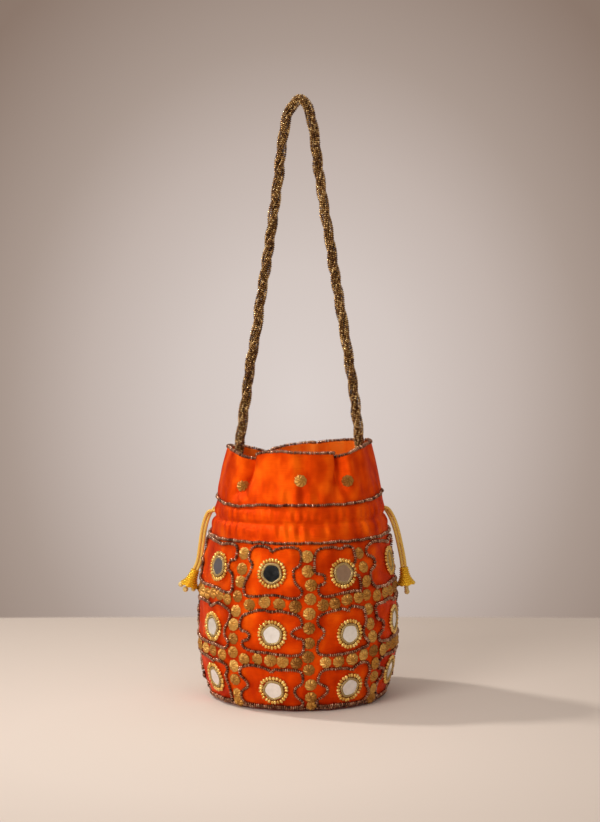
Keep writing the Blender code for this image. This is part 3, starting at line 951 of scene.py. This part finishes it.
def tube_grid(points, radius, sides):
    """Rings of points round a line, each ring square to it."""
    along = unit(np.gradient(points, axis=0))
    side = unit(np.cross(along, (0.0, 1.0, 0.0)))
    over = np.cross(along, side)
    angle = angles(sides)[:, None]
    ring = np.cos(angle) * side[:, None, :] + np.sin(angle) * over[:, None, :]
    return points[:, None, :] + radius * ring


def grid_uv(across, along):
    """UVs of a grid of points stored row by row."""
    return np.stack(np.broadcast_arrays(across[None, :], along[:, None]), axis=-1).reshape(-1, 2)


def sewn_on(piece, slot, *nodes):
    """Make a piece part of the bag, in place of those CAD nodes; the slot is not used."""
    if nodes:
        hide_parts(*nodes)
    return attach(piece, "bag")


def tail_route(route, sign):
    """A cord's hanging end: front or back at the slot, then the outer or inner one of the pair."""
    line = np.array([(x, 0.0, z) for x, z in route])
    last = len(line) - 1
    points = []
    for index, middle in enumerate(line):
        turned_by = smooth_step(index / last / CORD_TURN)
        along = line[min(index + 1, last)] - line[max(index - 1, 0)]
        outwards = unit(np.array((-along[2], 0.0, along[0])))
        if outwards[0] * middle[0] < 0:
            outwards = -outwards
        spread = CORD_SPREAD + (CORD_PAIR_SPREAD - CORD_SPREAD) * turned_by
        angle = math.pi / 2 * turned_by
        aside = np.array((0.0, sign, 0.0)) * math.cos(angle) - sign * outwards * math.sin(angle)
        points.append(middle + spread * aside)
    return np.array(points)


def placed(points, top, along):
    """Points about a piece's own -Z axis, moved to hang from the top along a direction."""
    turn = np.array((-Vector(along)).to_track_quat("Z", "Y").to_matrix())
    return points @ turn.T + np.asarray(top)


def make_bell(side, top, along):
    """A bell wound of gold thread, with ribs and a wavy lip."""
    radius, depth = smooth_route(BELL_PROFILE[1:], BELL_ROWS).T[..., None]
    angle = angles(BELL_SIDES)
    wound = np.linspace(0, 1, BELL_ROWS)[:, None] < BELL_RIB_END
    flare = smooth_step((depth - BELL_LIP_START) / 0.005)
    radius = radius + BELL_RIB * np.sin(depth / BELL_RIB_PITCH * 2 * math.pi) * wound
    radius = radius + BELL_LIP_WAVE * flare * np.sin(angle * BELL_LIP_WAVES)
    drop = BELL_LIP_DROP * flare * np.cos(angle * BELL_LIP_WAVES + 0.8) - depth
    grid = np.stack([radius * np.cos(angle), radius * np.sin(angle), drop], axis=-1)
    crown = np.tile((0.0, 0.0, BELL_CROWN), (1, BELL_SIDES, 1))
    points = np.concatenate([crown, grid]).reshape(-1, 3)
    around = np.arange(BELL_SIDES) / BELL_SIDES * BELL_UV_SIZE
    uv = grid_uv(around, np.linspace(0, BELL_UV_SIZE, BELL_ROWS + 1))
    faces = [grid_faces(BELL_ROWS + 1, BELL_SIDES)[:, ::-1]]
    bell = mesh_piece(f"bell_{side}", placed(points, top, along), faces, GOLD_THREAD, uv=uv)
    return sewn_on(bell, "gold_thread", f"tassel_bell_{side}")


def knot_stamens():
    """Three knots, each on its own thread: the threads, their radius, the knots and their sizes."""
    knots = np.array(KNOT_PLACES)
    threads = [
        smooth_route([(0, 0, -0.0060), knot * (0.6, 0.6, 0.72), knot], 12) for knot in knots
    ]
    return threads, KNOT_STEM_RADIUS, knots, KNOT_SIZES


def stem_stamens():
    """A twisted stem and the knot at its tip, likewise."""
    line = smooth_route(STEM_CURVE, 60)
    turn = np.linspace(0, STEM_HALF_TURNS * math.pi, len(line))
    twist = STEM_TWIST * np.stack([np.cos(turn), np.sin(turn), 0 * turn], axis=-1)
    return [line + twist, line - twist], STEM_RADIUS, line[-1:] - (0, 0, 0.0010), TIP_SIZES


def make_stamens(side, top, along):
    """What hangs in a bell: three knots on the left, a twisted stem and its tip on the right."""
    threads, radius, knots, sizes = knot_stamens() if side == "left" else stem_stamens()
    parts = []
    for thread in threads:
        grid = tube_grid(thread, radius, STEM_SIDES).reshape(-1, 3)
        faces = [grid_faces(len(thread), STEM_SIDES)[:, ::-1]]
        parts.append((grid, faces, np.zeros(len(grid))))
    count = len(knots)
    axes, ups = np.tile((0.3, 0.2, 1.0), (count, 1)), np.tile((1.0, 0.0, 0.0), (count, 1))
    scales = np.repeat(np.array(sizes)[:, None], 3, axis=1)
    knot = ball_form(0.04 * math.pi, 0.96 * math.pi, 9, 12)
    parts.append(scatter(knot, knots, axes, ups, scales, np.zeros(count)))
    points, faces, _tones = joined(parts)
    uv = points[:, :2] * 3 + points[:, 2:] * (0, 3)
    piece = mesh_piece(
        f"stamens_{side}", placed(points, top, along), faces, PALE_THREAD, uv=uv
    )
    return sewn_on(piece, "gold_stamens", f"tassel_stamens_{side}")


def make_tail(side, place, points):
    """A cord's hanging end along its route, capped at both ends."""
    grid = tube_grid(points, CORD_RADIUS, CORD_SIDES)
    sides = np.arange(CORD_SIDES)
    uv = grid_uv(sides / CORD_SIDES * CORD_UV_WIDTH, reach_along(points))
    caps = np.stack([sides, sides[::-1] + CORD_SIDES * (len(points) - 1)])
    faces = [grid_faces(len(points), CORD_SIDES)[:, ::-1], caps]
    tail = mesh_piece(f"cord_{side}_{place}", grid.reshape(-1, 3), faces, SATIN_CORD, uv=uv)
    return sewn_on(tail, "satin_cord", f"drawcord_{side}_tail_{place}")


def make_cords():
    """The drawcords' four hanging ends and the tassels on them."""
    for side, route in (("left", LEFT_TAIL), ("right", RIGHT_TAIL)):
        start, end = np.array([(x, 0.0, z) for x, z in route[-2:]])
        along = unit(end - start)
        top = end + GAP * along
        bell = make_bell(side, top, along)
        stamens = make_stamens(side, top, along)
        for place, sign in (("front", -1), ("back", 1)):
            points = smooth_route(tail_route(route, sign), CORD_STEPS)
            tail = make_tail(side, place, points)


# --- Silk, lining and base ----------------------------------------------------------------------
SILK_COLUMNS = 360
# The silk's rows of points, up to each height
FOOT_ROWS, BODY_ROWS, RUFFLE_ROWS = 12, 56, 60
FOOT_TOP, BODY_TOP = 0.012, 0.130
# How far each row of the turned-in hem is below the rim and inside the silk, and its place along
# the cloth
HEM_DROPS = (0.0, 0.0005, 0.0025, 0.0060)
HEM_INSETS = (0.0006, 0.0012, 0.0014, 0.0014)
HEM_PLACES = (0.001, 0.002, 0.004, 0.008)
HEM_FOLD = 0.0003
SEAM_SHARE = 0.965
SEAM_HEIGHT = 0.0003
# The slots in the channel that the cords come out of
SLOT_HALF_TURN = 2.6
SLOT_BOTTOM = 0.1478
SLOT_TOP = 0.1566
LINING_COLUMNS = 200
LINING_INSET = 0.0022
CHANNEL_ROOM = 0.0036
LINING_FLOOR = 0.0048
LINING_SHARES = (0.02, 0.16, 0.34, 0.52, 0.70, 0.86, 0.95, 1.0)
BASE_COLUMNS = 144
BASE_SHARES = (0.01, 0.15, 0.32, 0.50, 0.66, 0.80, 0.90, 0.96, 1.0)
BASE_PUCKERS = 48


def silk_grid(columns, heights, inset, lap=1.0):
    azimuth = np.arange(columns) * 360 / columns - 180
    inset = np.asarray(inset)[:, None] if np.ndim(inset) else inset
    return silk_points(azimuth[None, :], np.asarray(heights)[:, None], inset, lap)


def silk_uv(columns, heights):
    return grid_uv(np.arange(columns) / columns * 0.5, np.asarray(heights))


def make_silk():
    """The embroidered outer silk: seam under the base, body, channel, ruffle and turned-in hem."""
    foot = np.linspace(0.0004, FOOT_TOP, FOOT_ROWS, endpoint=False)
    body = np.linspace(FOOT_TOP, BODY_TOP, BODY_ROWS, endpoint=False)
    ruffle = np.linspace(BODY_TOP, RIM_HEIGHT, RUFFLE_ROWS)
    heights = np.concatenate([foot, body, ruffle])
    outer = silk_grid(SILK_COLUMNS, heights, 0.0)
    hem = silk_grid(SILK_COLUMNS, RIM_HEIGHT - np.array(HEM_DROPS), HEM_INSETS)
    hem[0, :, 2] += HEM_FOLD
    seam = outer[:1] * (SEAM_SHARE, SEAM_SHARE, 0.0) + (0.0, 0.0, SEAM_HEIGHT)
    points = np.concatenate([seam, outer, hem])
    every = np.concatenate([[-0.002], heights, RIM_HEIGHT + np.array(HEM_PLACES)])
    faces = grid_faces(len(points), SILK_COLUMNS)
    turn = (faces[:, 0] % SILK_COLUMNS + 0.5) * 360 / SILK_COLUMNS - 180
    level = every[faces[:, 0] // SILK_COLUMNS]
    aside = np.minimum(*(np.abs(turn_from(turn, side)) for side in (-90, 90)))
    slot = (aside < SLOT_HALF_TURN) & (level > SLOT_BOTTOM) & (level < SLOT_TOP)
    uv = silk_uv(SILK_COLUMNS, every)
    points = points.reshape(-1, 3)
    silk = mesh_piece("embroidered_silk", points, [faces[~slot]], ORANGE_SILK, uv=uv)
    sewn_on(silk, "orange_silk", "outer_silk")


def make_lining():
    """The lining: a loose orange pouch, sewn to the silk at the rim and under the channel."""
    heights = np.concatenate([np.linspace(0.0100, 0.140, 24), np.linspace(0.1425, RIM_HEIGHT, 34)])
    into = smooth_step((heights - CHANNEL_BOTTOM) / 0.003 + 1)
    into = into - smooth_step((heights - CHANNEL_TOP) / 0.003)
    inset = LINING_INSET + CHANNEL_ROOM * into
    inset = inset - 0.0006 * smooth_step((heights - 0.190) / 0.010)
    side = silk_grid(LINING_COLUMNS, heights, inset, lap=0.55)
    rim = side[-1:] + (0.0, 0.0, 0.0004)
    foot = side[:1] * (0.99, 0.99, 0.0) + (0.0, 0.0, 0.0062)
    points = np.concatenate([foot, side, rim])
    uv = silk_uv(LINING_COLUMNS, np.concatenate([[0.004], heights, [RIM_HEIGHT + 0.001]]))
    faces = grid_faces(len(points), LINING_COLUMNS)[:, ::-1]
    pouch = mesh_piece("lining_side", points.reshape(-1, 3), [faces], LINING_SILK, uv=uv)
    sewn_on(pouch, "lining_silk", "lining")
    make_lining_floor(foot[0])


def make_lining_floor(foot):
    """The lining's wrinkled floor, inside the ring of points at its foot."""
    angle = angles(LINING_COLUMNS)
    rings = []
    for share in LINING_SHARES:
        ring = foot * (share, share, 0.0)
        wrinkle = 0.0005 * np.sin(angle * 5 + share * 9) * np.sin(share * 11)
        lift = 0.0015 * smooth_step((share - 0.86) / 0.14)
        ring[:, 2] = LINING_FLOOR + lift + wrinkle * (0.1 < share < 0.9)
        rings.append(ring)
    points = np.concatenate(rings)
    faces = grid_faces(len(rings), LINING_COLUMNS)[:, ::-1]
    floor = mesh_piece("lining_floor", points, [faces], LINING_SILK, uv=points[:, :2])
    sewn_on(floor, "lining_silk")


def make_base():
    """The round silk base, drawn over its board with small puckers at the seam."""
    low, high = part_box("base_panel")
    radius = (high[0] - low[0]) / 2
    angle = angles(BASE_COLUMNS)
    rings = []
    for level, shares, inwards in (
        (low[2] + 0.00005, BASE_SHARES, 1),
        (high[2], BASE_SHARES[::-1], -1),
    ):
        for share in shares:
            pucker = np.abs(0.00025 * np.sin(angle * BASE_PUCKERS))
            height = level + inwards * pucker * smooth_step((share - 0.8) / 0.2)
            reach = radius * share
            rings.append(np.stack([reach * np.cos(angle), reach * np.sin(angle), height], axis=-1))
    points = np.concatenate(rings)
    faces = [grid_faces(len(rings), BASE_COLUMNS)[:, ::-1]]
    base = mesh_piece("base_silk", points, faces, ORANGE_SILK, uv=points[:, :2])
    sewn_on(base, "base_silk", "base_panel")


# --- Beads --------------------------------------------------------------------------------------
SEED_PITCH = 0.00160
SEED_RADIUS = 0.00145
SEED_LIFT = 0.00100
BASE_LINE_HEIGHT = 0.0036
RIM_STEPS = 720
# A seed bead one long and one across, and a simpler one for the rope, which has thousands
SEED_BEAD = turned_form(((-0.44, 0.14), (-0.30, 0.38), (0.0, 0.52), (0.30, 0.38), (0.44, 0.14)), 7)
ROPE_BEAD = turned_form(((-0.46, 0.10), (-0.18, 0.50), (0.18, 0.50), (0.46, 0.10)), 6)


def bead_scales(pitch, radius, size):
    """Scales of beads a pitch long, each times its own size."""
    return np.array([[pitch, 2 * radius, 2 * radius]]) * size


def seed_tones(drawn, count):
    return drawn.beta(1.9, 1.7, count)


def seed_line(azimuths, heights, seed):
    """Seed beads couched on the silk along a closed line of azimuths and heights."""
    line = np.stack([azimuths, heights], axis=-1)
    turned = 360 if azimuths[-1] > azimuths[0] + 180 else 0
    line = np.concatenate([line, line[:1] + (turned, 0)])
    at = evenly(silk_points(azimuths, heights), SEED_PITCH, True)
    azimuth, height = points_at(at, np.arange(len(line)), line).T
    drawn = np.random.default_rng(seed)
    height = height + drawn.normal(0, 0.00012, len(at))
    normals = silk_normals(azimuth, height)
    lift = SEED_LIFT + drawn.normal(0, 0.00008, (len(at), 1))
    places = silk_points(azimuth, height) + lift * normals
    along = unit(np.roll(places, -1, axis=0) - np.roll(places, 1, axis=0))
    along = along + drawn.normal(0, 0.06, along.shape)
    size = drawn.uniform(0.92, 1.08, (len(at), 1))
    scales = bead_scales(SEED_PITCH * 0.98, SEED_RADIUS, size)
    return scatter(SEED_BEAD, places, along, normals, scales, seed_tones(drawn, len(at)))


def bead_piece(name, parts, material, slot, *nodes):
    points, faces, tones = joined(parts)
    piece = mesh_piece(name, points, faces, material, tone=tones)
    return sewn_on(piece, slot, *nodes)


def make_bead_lines():
    """The four lines of seed beads round the bag, base to rim."""
    turn = np.arange(-180.0, 180.0, 0.5)
    drift = 0.0005 * waves(turn, (15, 23, 34), 21)
    lines = {
        "base_beading": np.full(len(turn), BASE_LINE_HEIGHT),
        "body_beading": body_line.at(turn) + drift,
        "neck_beading": neck_line.at(turn) + drift[::-1],
    }
    for index, (name, heights) in enumerate(lines.items()):
        beads = seed_line(turn, heights, 40 + index)
        bead_piece(f"{name}_seeds", [beads], BRONZE_BEADS, "line_beads", name)
    bead_piece("rim_beading_seeds", [rim_seeds()], BRONZE_BEADS, "line_beads", "rim_beading")


def rim_seeds():
    """Seed beads side by side on the silk's upper edge."""
    rim = silk_grid(RIM_STEPS, [RIM_HEIGHT], 0.0006)[0] + (0.0, 0.0, 0.0010)
    at = evenly(rim, SEED_PITCH, True)
    places = points_at(at, np.arange(RIM_STEPS + 1), np.concatenate([rim, rim[:1]]))
    drawn = np.random.default_rng(47)
    places = places + drawn.normal(0, 0.00014, places.shape)
    along = np.roll(places, -1, axis=0) - np.roll(places, 1, axis=0)
    along = along + drawn.normal(0, 0.00012, along.shape)
    size = drawn.uniform(0.95, 1.12, (len(places), 1))
    scales = bead_scales(SEED_PITCH, SEED_RADIUS, size)
    ups = np.tile((0.0, 0.0, 1.0), (len(places), 1))
    return scatter(SEED_BEAD, places, along, ups, scales, seed_tones(drawn, len(places)))


# Two outlines about a mirror, in shares of the room at each side and above and below it, going
# round from the middle of the bottom: one all curves, one with a square step at each side
CURVED_PANEL = (
    (0.10, -0.93), (0.55, -0.96), (0.90, -0.90), (0.98, -0.62), (0.80, -0.36), (0.72, -0.10),
    (0.76, 0.14), (0.94, 0.34), (0.98, 0.66), (0.90, 0.90), (0.68, 0.97), (0.32, 0.96),
    (0.10, 0.92), (-0.04, 0.80), (-0.18, 0.92), (-0.42, 0.98), (-0.72, 0.96), (-0.92, 0.82),
    (-0.94, 0.50), (-0.78, 0.30), (-0.76, 0.04), (-0.92, -0.22), (-0.98, -0.56), (-0.90, -0.88),
    (-0.62, -0.96),
)
STEPPED_PANEL = (
    (0.10, -0.95), (0.62, -0.92), (0.86, -0.74), (0.90, -0.44), (0.72, -0.36), (0.68, -0.12),
    (0.74, 0.04), (0.96, 0.08), (0.98, 0.40), (0.94, 0.76), (0.76, 0.94), (0.30, 0.97),
    (0.02, 0.90), (-0.30, 0.97), (-0.74, 0.96), (-0.94, 0.78), (-0.96, 0.42), (-0.72, 0.30),
    (-0.64, 0.06), (-0.78, -0.10), (-0.96, -0.20), (-0.98, -0.56), (-0.90, -0.86),
    (-0.60, -0.96),
)
BUTTON_ROOM = 0.0052
PANEL_TOP = 0.1312
PANEL_BOTTOM = 0.0042
PANEL_HALF_TURN = 20
PANEL_WANDER = 0.03


def panel_points(row, column, azimuth, height):
    """The corners of one panel, as azimuths and heights, in the room between its neighbours."""
    drawn = random.Random(100 * row + column)
    outline = STEPPED_PANEL if (row + column) % 3 == 1 else CURVED_PANEL
    flip = 1 if (row + column) % 2 == 0 else -1
    width = float(np.interp(height, WIDTH_HEIGHTS, WIDTHS))
    spare = math.degrees(BUTTON_ROOM / width)
    points = []
    for across, up in outline[::flip]:
        across = flip * across + drawn.uniform(-PANEL_WANDER, PANEL_WANDER)
        near = azimuth + across * PANEL_HALF_TURN
        edges = (PANEL_TOP, upper_row.at(near), lower_row.at(near), PANEL_BOTTOM)
        ceiling = edges[row] - (BUTTON_ROOM if row else 0)
        floor = edges[row + 1] + (BUTTON_ROOM if row < 2 else 0)
        room = ceiling - height if up > 0 else height - floor
        level = height + (up + drawn.uniform(-PANEL_WANDER, PANEL_WANDER)) * room
        side = column if across > 0 else column - 1
        reach = abs(turn_from(string_azimuth(side, level), azimuth)) - spare
        points.append((azimuth + across * reach, level))
    return points


def make_panels():
    """A wandering outline of seed beads round each mirror."""
    parts = []
    for row, places in enumerate(MIRROR_PLACES.values()):
        for column, (azimuth, height) in enumerate(places):
            loop = smooth_loop(panel_points(row, column, azimuth, height), 240)
            levels = np.clip(loop[:, 1], PANEL_BOTTOM, PANEL_TOP)
            parts.append(seed_line(loop[:, 0], levels, 200 + 10 * row + column))
    bead_piece("panel_beading", parts, BRONZE_BEADS, "line_beads")


# --- Mirror work --------------------------------------------------------------------------------
MIRROR_BEADS = 25
MIRROR_BEAD_REACH = 0.0102
MIRROR_BEAD_LIFT = 0.00095
MIRROR_BEAD_SIZE = (0.0036, 0.0027, 0.0028)
MIRROR_BEAD = ball_form(0.35, 2.79, 6, 9)
GIMP_RADIUS = 0.0075
GIMP_THICKNESS = 0.00110
GIMP_LIFT = 0.00080
GIMP_TWISTS = 32
GIMP_STEPS = 96
GIMP_SIDES = 8
GIMP_UV_SIZE = (0.006, 0.046)


def gimp_ring(azimuth, height, drawn):
    """The twisted metal gimp round a mirror, as a grid of points."""
    around, across = angles(GIMP_STEPS)[:, None], angles(GIMP_SIDES)
    turn = math.radians(azimuth)
    normal = silk_normals(np.array(azimuth), np.array(height))
    right = np.array((math.cos(turn), math.sin(turn), 0.0))
    up = np.cross(normal, right)
    thick = GIMP_THICKNESS * (1 + 0.16 * np.sin(around * GIMP_TWISTS + drawn.uniform(0, 6)))
    reach = GIMP_RADIUS + 0.00022 * np.sin(around * 5 + drawn.uniform(0, 6))
    out = (reach + thick * np.cos(across))[..., None]
    rise = GIMP_LIFT + thick * np.sin(across) * 0.85
    around = around[..., None]
    flat = out * np.cos(around) * right + out * np.sin(around) * up
    return silk_points(azimuth, height) + flat + rise[..., None] * normal


def mirror_beads(azimuth, height, drawn):
    """The ring of gold beads round a mirror, each pointing away from its centre."""
    width = float(np.interp(height, WIDTH_HEIGHTS, WIDTHS))
    order = np.arange(MIRROR_BEADS) + drawn.normal(0, 0.07, MIRROR_BEADS)
    angle = order * 2 * math.pi / MIRROR_BEADS
    far = MIRROR_BEAD_REACH + drawn.normal(0, 0.00018, MIRROR_BEADS)
    turn = azimuth + np.degrees(far * np.cos(angle) / width)
    level = np.clip(height + far * np.sin(angle), 0.0035, RIM_HEIGHT)
    ups = silk_normals(turn, level)
    places = silk_points(turn, level) + MIRROR_BEAD_LIFT * ups
    axes = places - silk_points(azimuth, height)
    scales = np.array([MIRROR_BEAD_SIZE]) * drawn.uniform(0.93, 1.07, (MIRROR_BEADS, 1))
    return scatter(MIRROR_BEAD, places, axes, ups, scales, drawn.beta(2.5, 2.0, MIRROR_BEADS))


def make_mirror_work():
    """Each mirror's bound edge of metal gimp and its ring of gold beads."""
    rings, beads = [], []
    quads = grid_faces(GIMP_STEPS + 1, GIMP_SIDES)[:, ::-1] % (GIMP_STEPS * GIMP_SIDES)
    for row, mirrors in enumerate(MIRROR_PLACES.values()):
        for column, (azimuth, height) in enumerate(mirrors):
            drawn = np.random.default_rng(300 + 10 * row + column)
            ring = gimp_ring(azimuth, height, drawn).reshape(-1, 3)
            rings.append((ring, [quads], np.zeros(len(ring))))
            beads.append(mirror_beads(azimuth, height, drawn))
    bead_piece("mirror_beads", beads, GOLD_BEADS, "gold_buttons")
    points, faces, _tones = joined(rings)
    width, length = GIMP_UV_SIZE
    around, across = np.arange(GIMP_STEPS) / GIMP_STEPS, np.arange(GIMP_SIDES) / GIMP_SIDES
    uv = np.tile(grid_uv(across * width, around * length)[:, ::-1], (len(rings), 1))
    gimp = mesh_piece("mirror_gimp", points, faces, GIMP_THREAD, uv=uv)
    sewn_on(gimp, "gold_thread")


# --- Buttons ------------------------------------------------------------------------------------
BUTTON_RADIUS = 0.0048
BUTTON_HEIGHT = 0.0027
BUTTON_EDGE = 0.0009
BUTTON_LOBES = 8
BUTTON_SWIRL = 0.75
BUTTON_SHARES = (1.0, 1.0, 0.93, 0.80, 0.62, 0.42, 0.22, 0.08)
BUTTON_SINK = 0.00035
LOWEST_BUTTON = 0.0052
STRING_COUNT = 12
STRING_PITCH = 0.0112


def button_form():
    """A small gilt button: a low dome pressed with a pinwheel of swirling lobes."""
    sides = BUTTON_LOBES * 5
    angle = angles(sides)
    rings = []
    for index, share in enumerate(BUTTON_SHARES):
        lobes = 2 * np.abs(np.cos(BUTTON_LOBES / 2 * (angle + BUTTON_SWIRL * share))) - 1
        radius = BUTTON_RADIUS * share * (1 + 0.05 * lobes * (share > 0.75))
        dome = BUTTON_HEIGHT * (1 - share**2.4) + 0.0008
        pressed = dome * (0.68 + 0.32 * lobes * smooth_step((share - 0.05) / 0.25))
        rise = pressed if index > 1 else np.full(sides, index * BUTTON_EDGE)
        rings.append(np.stack([radius * np.cos(angle), radius * np.sin(angle), rise], axis=-1))
    quads = grid_faces(len(rings), sides)
    top = (np.arange(sides) + sides * (len(rings) - 1)).reshape(1, -1)
    return np.concatenate(rings), [quads, top]


BUTTON = button_form()


def place_buttons(azimuths, heights, seed, jitter):
    """Buttons on the silk, each a little off its place and turned at random."""
    drawn = np.random.default_rng(seed)
    count = len(azimuths)
    width = np.interp(heights, WIDTH_HEIGHTS, WIDTHS)
    azimuths = azimuths + np.degrees(drawn.normal(0, jitter, count) / width)
    heights = np.maximum(heights + drawn.normal(0, jitter, count), LOWEST_BUTTON)
    normals = silk_normals(azimuths, heights)
    normals = unit(normals + drawn.normal(0, 0.05, normals.shape))
    spin = drawn.uniform(0, 2 * math.pi, count)[:, None]
    turn = np.radians(azimuths)
    level = np.stack([np.cos(turn), np.sin(turn), np.zeros(count)], axis=-1)
    axes = np.cos(spin) * level + np.sin(spin) * np.cross(normals, level)
    axes = axes - (axes * normals).sum(1, keepdims=True) * normals
    scales = np.ones((count, 3)) * drawn.uniform(0.95, 1.06, (count, 1))
    places = silk_points(azimuths, heights) - BUTTON_SINK * normals
    return scatter(BUTTON, places, axes, normals, scales, drawn.beta(2.5, 2.5, count))


def make_buttons():
    """Gilt buttons: eight strings down the body, two rows round it, and those on the ruffle."""
    strings, rows = [], []
    order = np.arange(STRING_COUNT)
    for column in range(len(STRINGS)):
        heights = STRING_TOP - STRING_PITCH * order
        azimuths = string_azimuth(column, heights) + 0.9 * np.sin(order * 0.7 + column)
        strings.append(place_buttons(azimuths, heights, 400 + column, 0.0004))
    for index, line in enumerate((upper_row, lower_row)):
        for column in range(len(STRINGS)):
            middle = line.at(STRINGS[column][0])
            start = string_azimuth(column, middle)
            span = (string_azimuth((column + 1) % len(STRINGS), middle) - start) % 360
            between = round(span / 8.2 - 1 + 0.4 * (-1) ** (column + index))
            azimuths = start + span * (np.arange(between) + 1) / (between + 1)
            heights = line.at(turn_from(azimuths, 0))
            rows.append(place_buttons(azimuths, heights, 500 + 10 * index + column, 0.0005))
    bead_piece("string_buttons", strings, GILT, "gold_buttons")
    bead_piece("row_buttons", rows, GILT, "gold_buttons")
    azimuths, heights = np.array(RUFFLE_BUTTONS).T
    names = [f"ruffle_button_{index + 1}" for index in range(len(RUFFLE_BUTTONS))]
    parts = [place_buttons(azimuths, heights, 600, 0.0)]
    bead_piece("ruffle_buttons", parts, GILT, "gold_buttons", *names)


# --- Handle -------------------------------------------------------------------------------------
ROPE_PLIES = 3
PLY_STRANDS = 6
PLY_REACH = 0.00235
STRAND_REACH = 0.00145
ROPE_LAY = 0.060
PLY_LAY = 0.090
ROPE_PITCH = 0.00160
ROPE_BEAD_RADIUS = 0.00090
STRAND_TONES = (0.40, 0.65, 0.50, 0.70, 0.38, 0.58)
TONE_SPREAD = 0.38


def wound(line, reach, phase):
    """A line wound round another one, right-handed; the phase changes along it."""
    along = unit(np.gradient(line, axis=0))
    across = unit(np.cross((0.0, 1.0, 0.0), along))
    over = np.cross(along, across)
    return line + reach * (np.cos(phase)[:, None] * across + np.sin(phase)[:, None] * over)


def strand_beads(line, tone, drawn):
    """The beads strung along one strand, their tones about the strand's own."""
    at = evenly(line, ROPE_PITCH, False)
    places = points_at(at, np.arange(len(line)), line)
    places = places + drawn.normal(0, 0.00004, places.shape)
    axes = unit(np.gradient(places, axis=0))
    axes = axes + drawn.normal(0, 0.05, axes.shape)
    ups = np.tile((0.0, -1.0, 0.0), (len(at), 1))
    size = drawn.uniform(0.93, 1.07, (len(at), 1))
    scales = bead_scales(ROPE_PITCH, ROPE_BEAD_RADIUS, size)
    tones = tone + drawn.uniform(-TONE_SPREAD, TONE_SPREAD, len(at))
    return scatter(ROPE_BEAD, places, axes, ups, scales, tones)


def make_handle():
    """The rope: three plies of six strands of seed beads, sewn down inside the mouth."""
    centre = smooth_route([(x, 0.0, z) for x, z in HANDLE_ROUTE], 1200)
    reach = reach_along(centre)
    slack = 0.35 * np.sin(reach * 31) + 0.2 * np.sin(reach * 67 + 1)
    for ply in range(ROPE_PLIES):
        drawn = np.random.default_rng(700 + ply)
        phase = 2 * math.pi * (reach / ROPE_LAY + ply / ROPE_PLIES) + slack
        middle = wound(centre, PLY_REACH, phase)
        parts = []
        for strand in range(PLY_STRANDS):
            turn = 2 * math.pi * (reach / PLY_LAY + strand / PLY_STRANDS + ply * 0.37)
            swelling = STRAND_REACH * (1 + 0.10 * np.sin(reach * 90 + strand * 2 + ply))
            line = wound(middle, swelling[:, None], turn)
            tone = STRAND_TONES[(strand + 2 * ply) % PLY_STRANDS]
            parts.append(strand_beads(line, tone, drawn))
        points, faces, tones = joined(parts)
        piece = mesh_piece(f"rope_ply_{ply + 1}", points, faces, ROPE_BEADS, tone=tones)
        if ply == 0:
            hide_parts("handle_rope", "handle_end_left", "handle_end_right")
        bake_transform(piece)


# --- CAD nodes that stay ------------------------------------------------------------------------
def finish_kept_nodes():
    """The mirrors, the board and the cords inside the channel keep their shape."""
    for name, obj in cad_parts.items():
        if name.startswith("mirror_"):
            material = MIRROR
        elif name == "base_board":
            material = BOARD
        elif name in ("drawcord_left", "drawcord_right"):
            material = SATIN_CORD
        else:
            continue
        for index in range(len(obj.material_slots)):
            obj.material_slots[index].material = material
        if not obj.material_slots:
            obj.data.materials.append(material)


make_camera()
make_cords()
make_world()
make_floor()
make_cards()
make_light()
make_silk()
make_lining()
make_base()
make_bead_lines()
make_panels()
make_mirror_work()
make_buttons()
make_handle()
finish_kept_nodes()
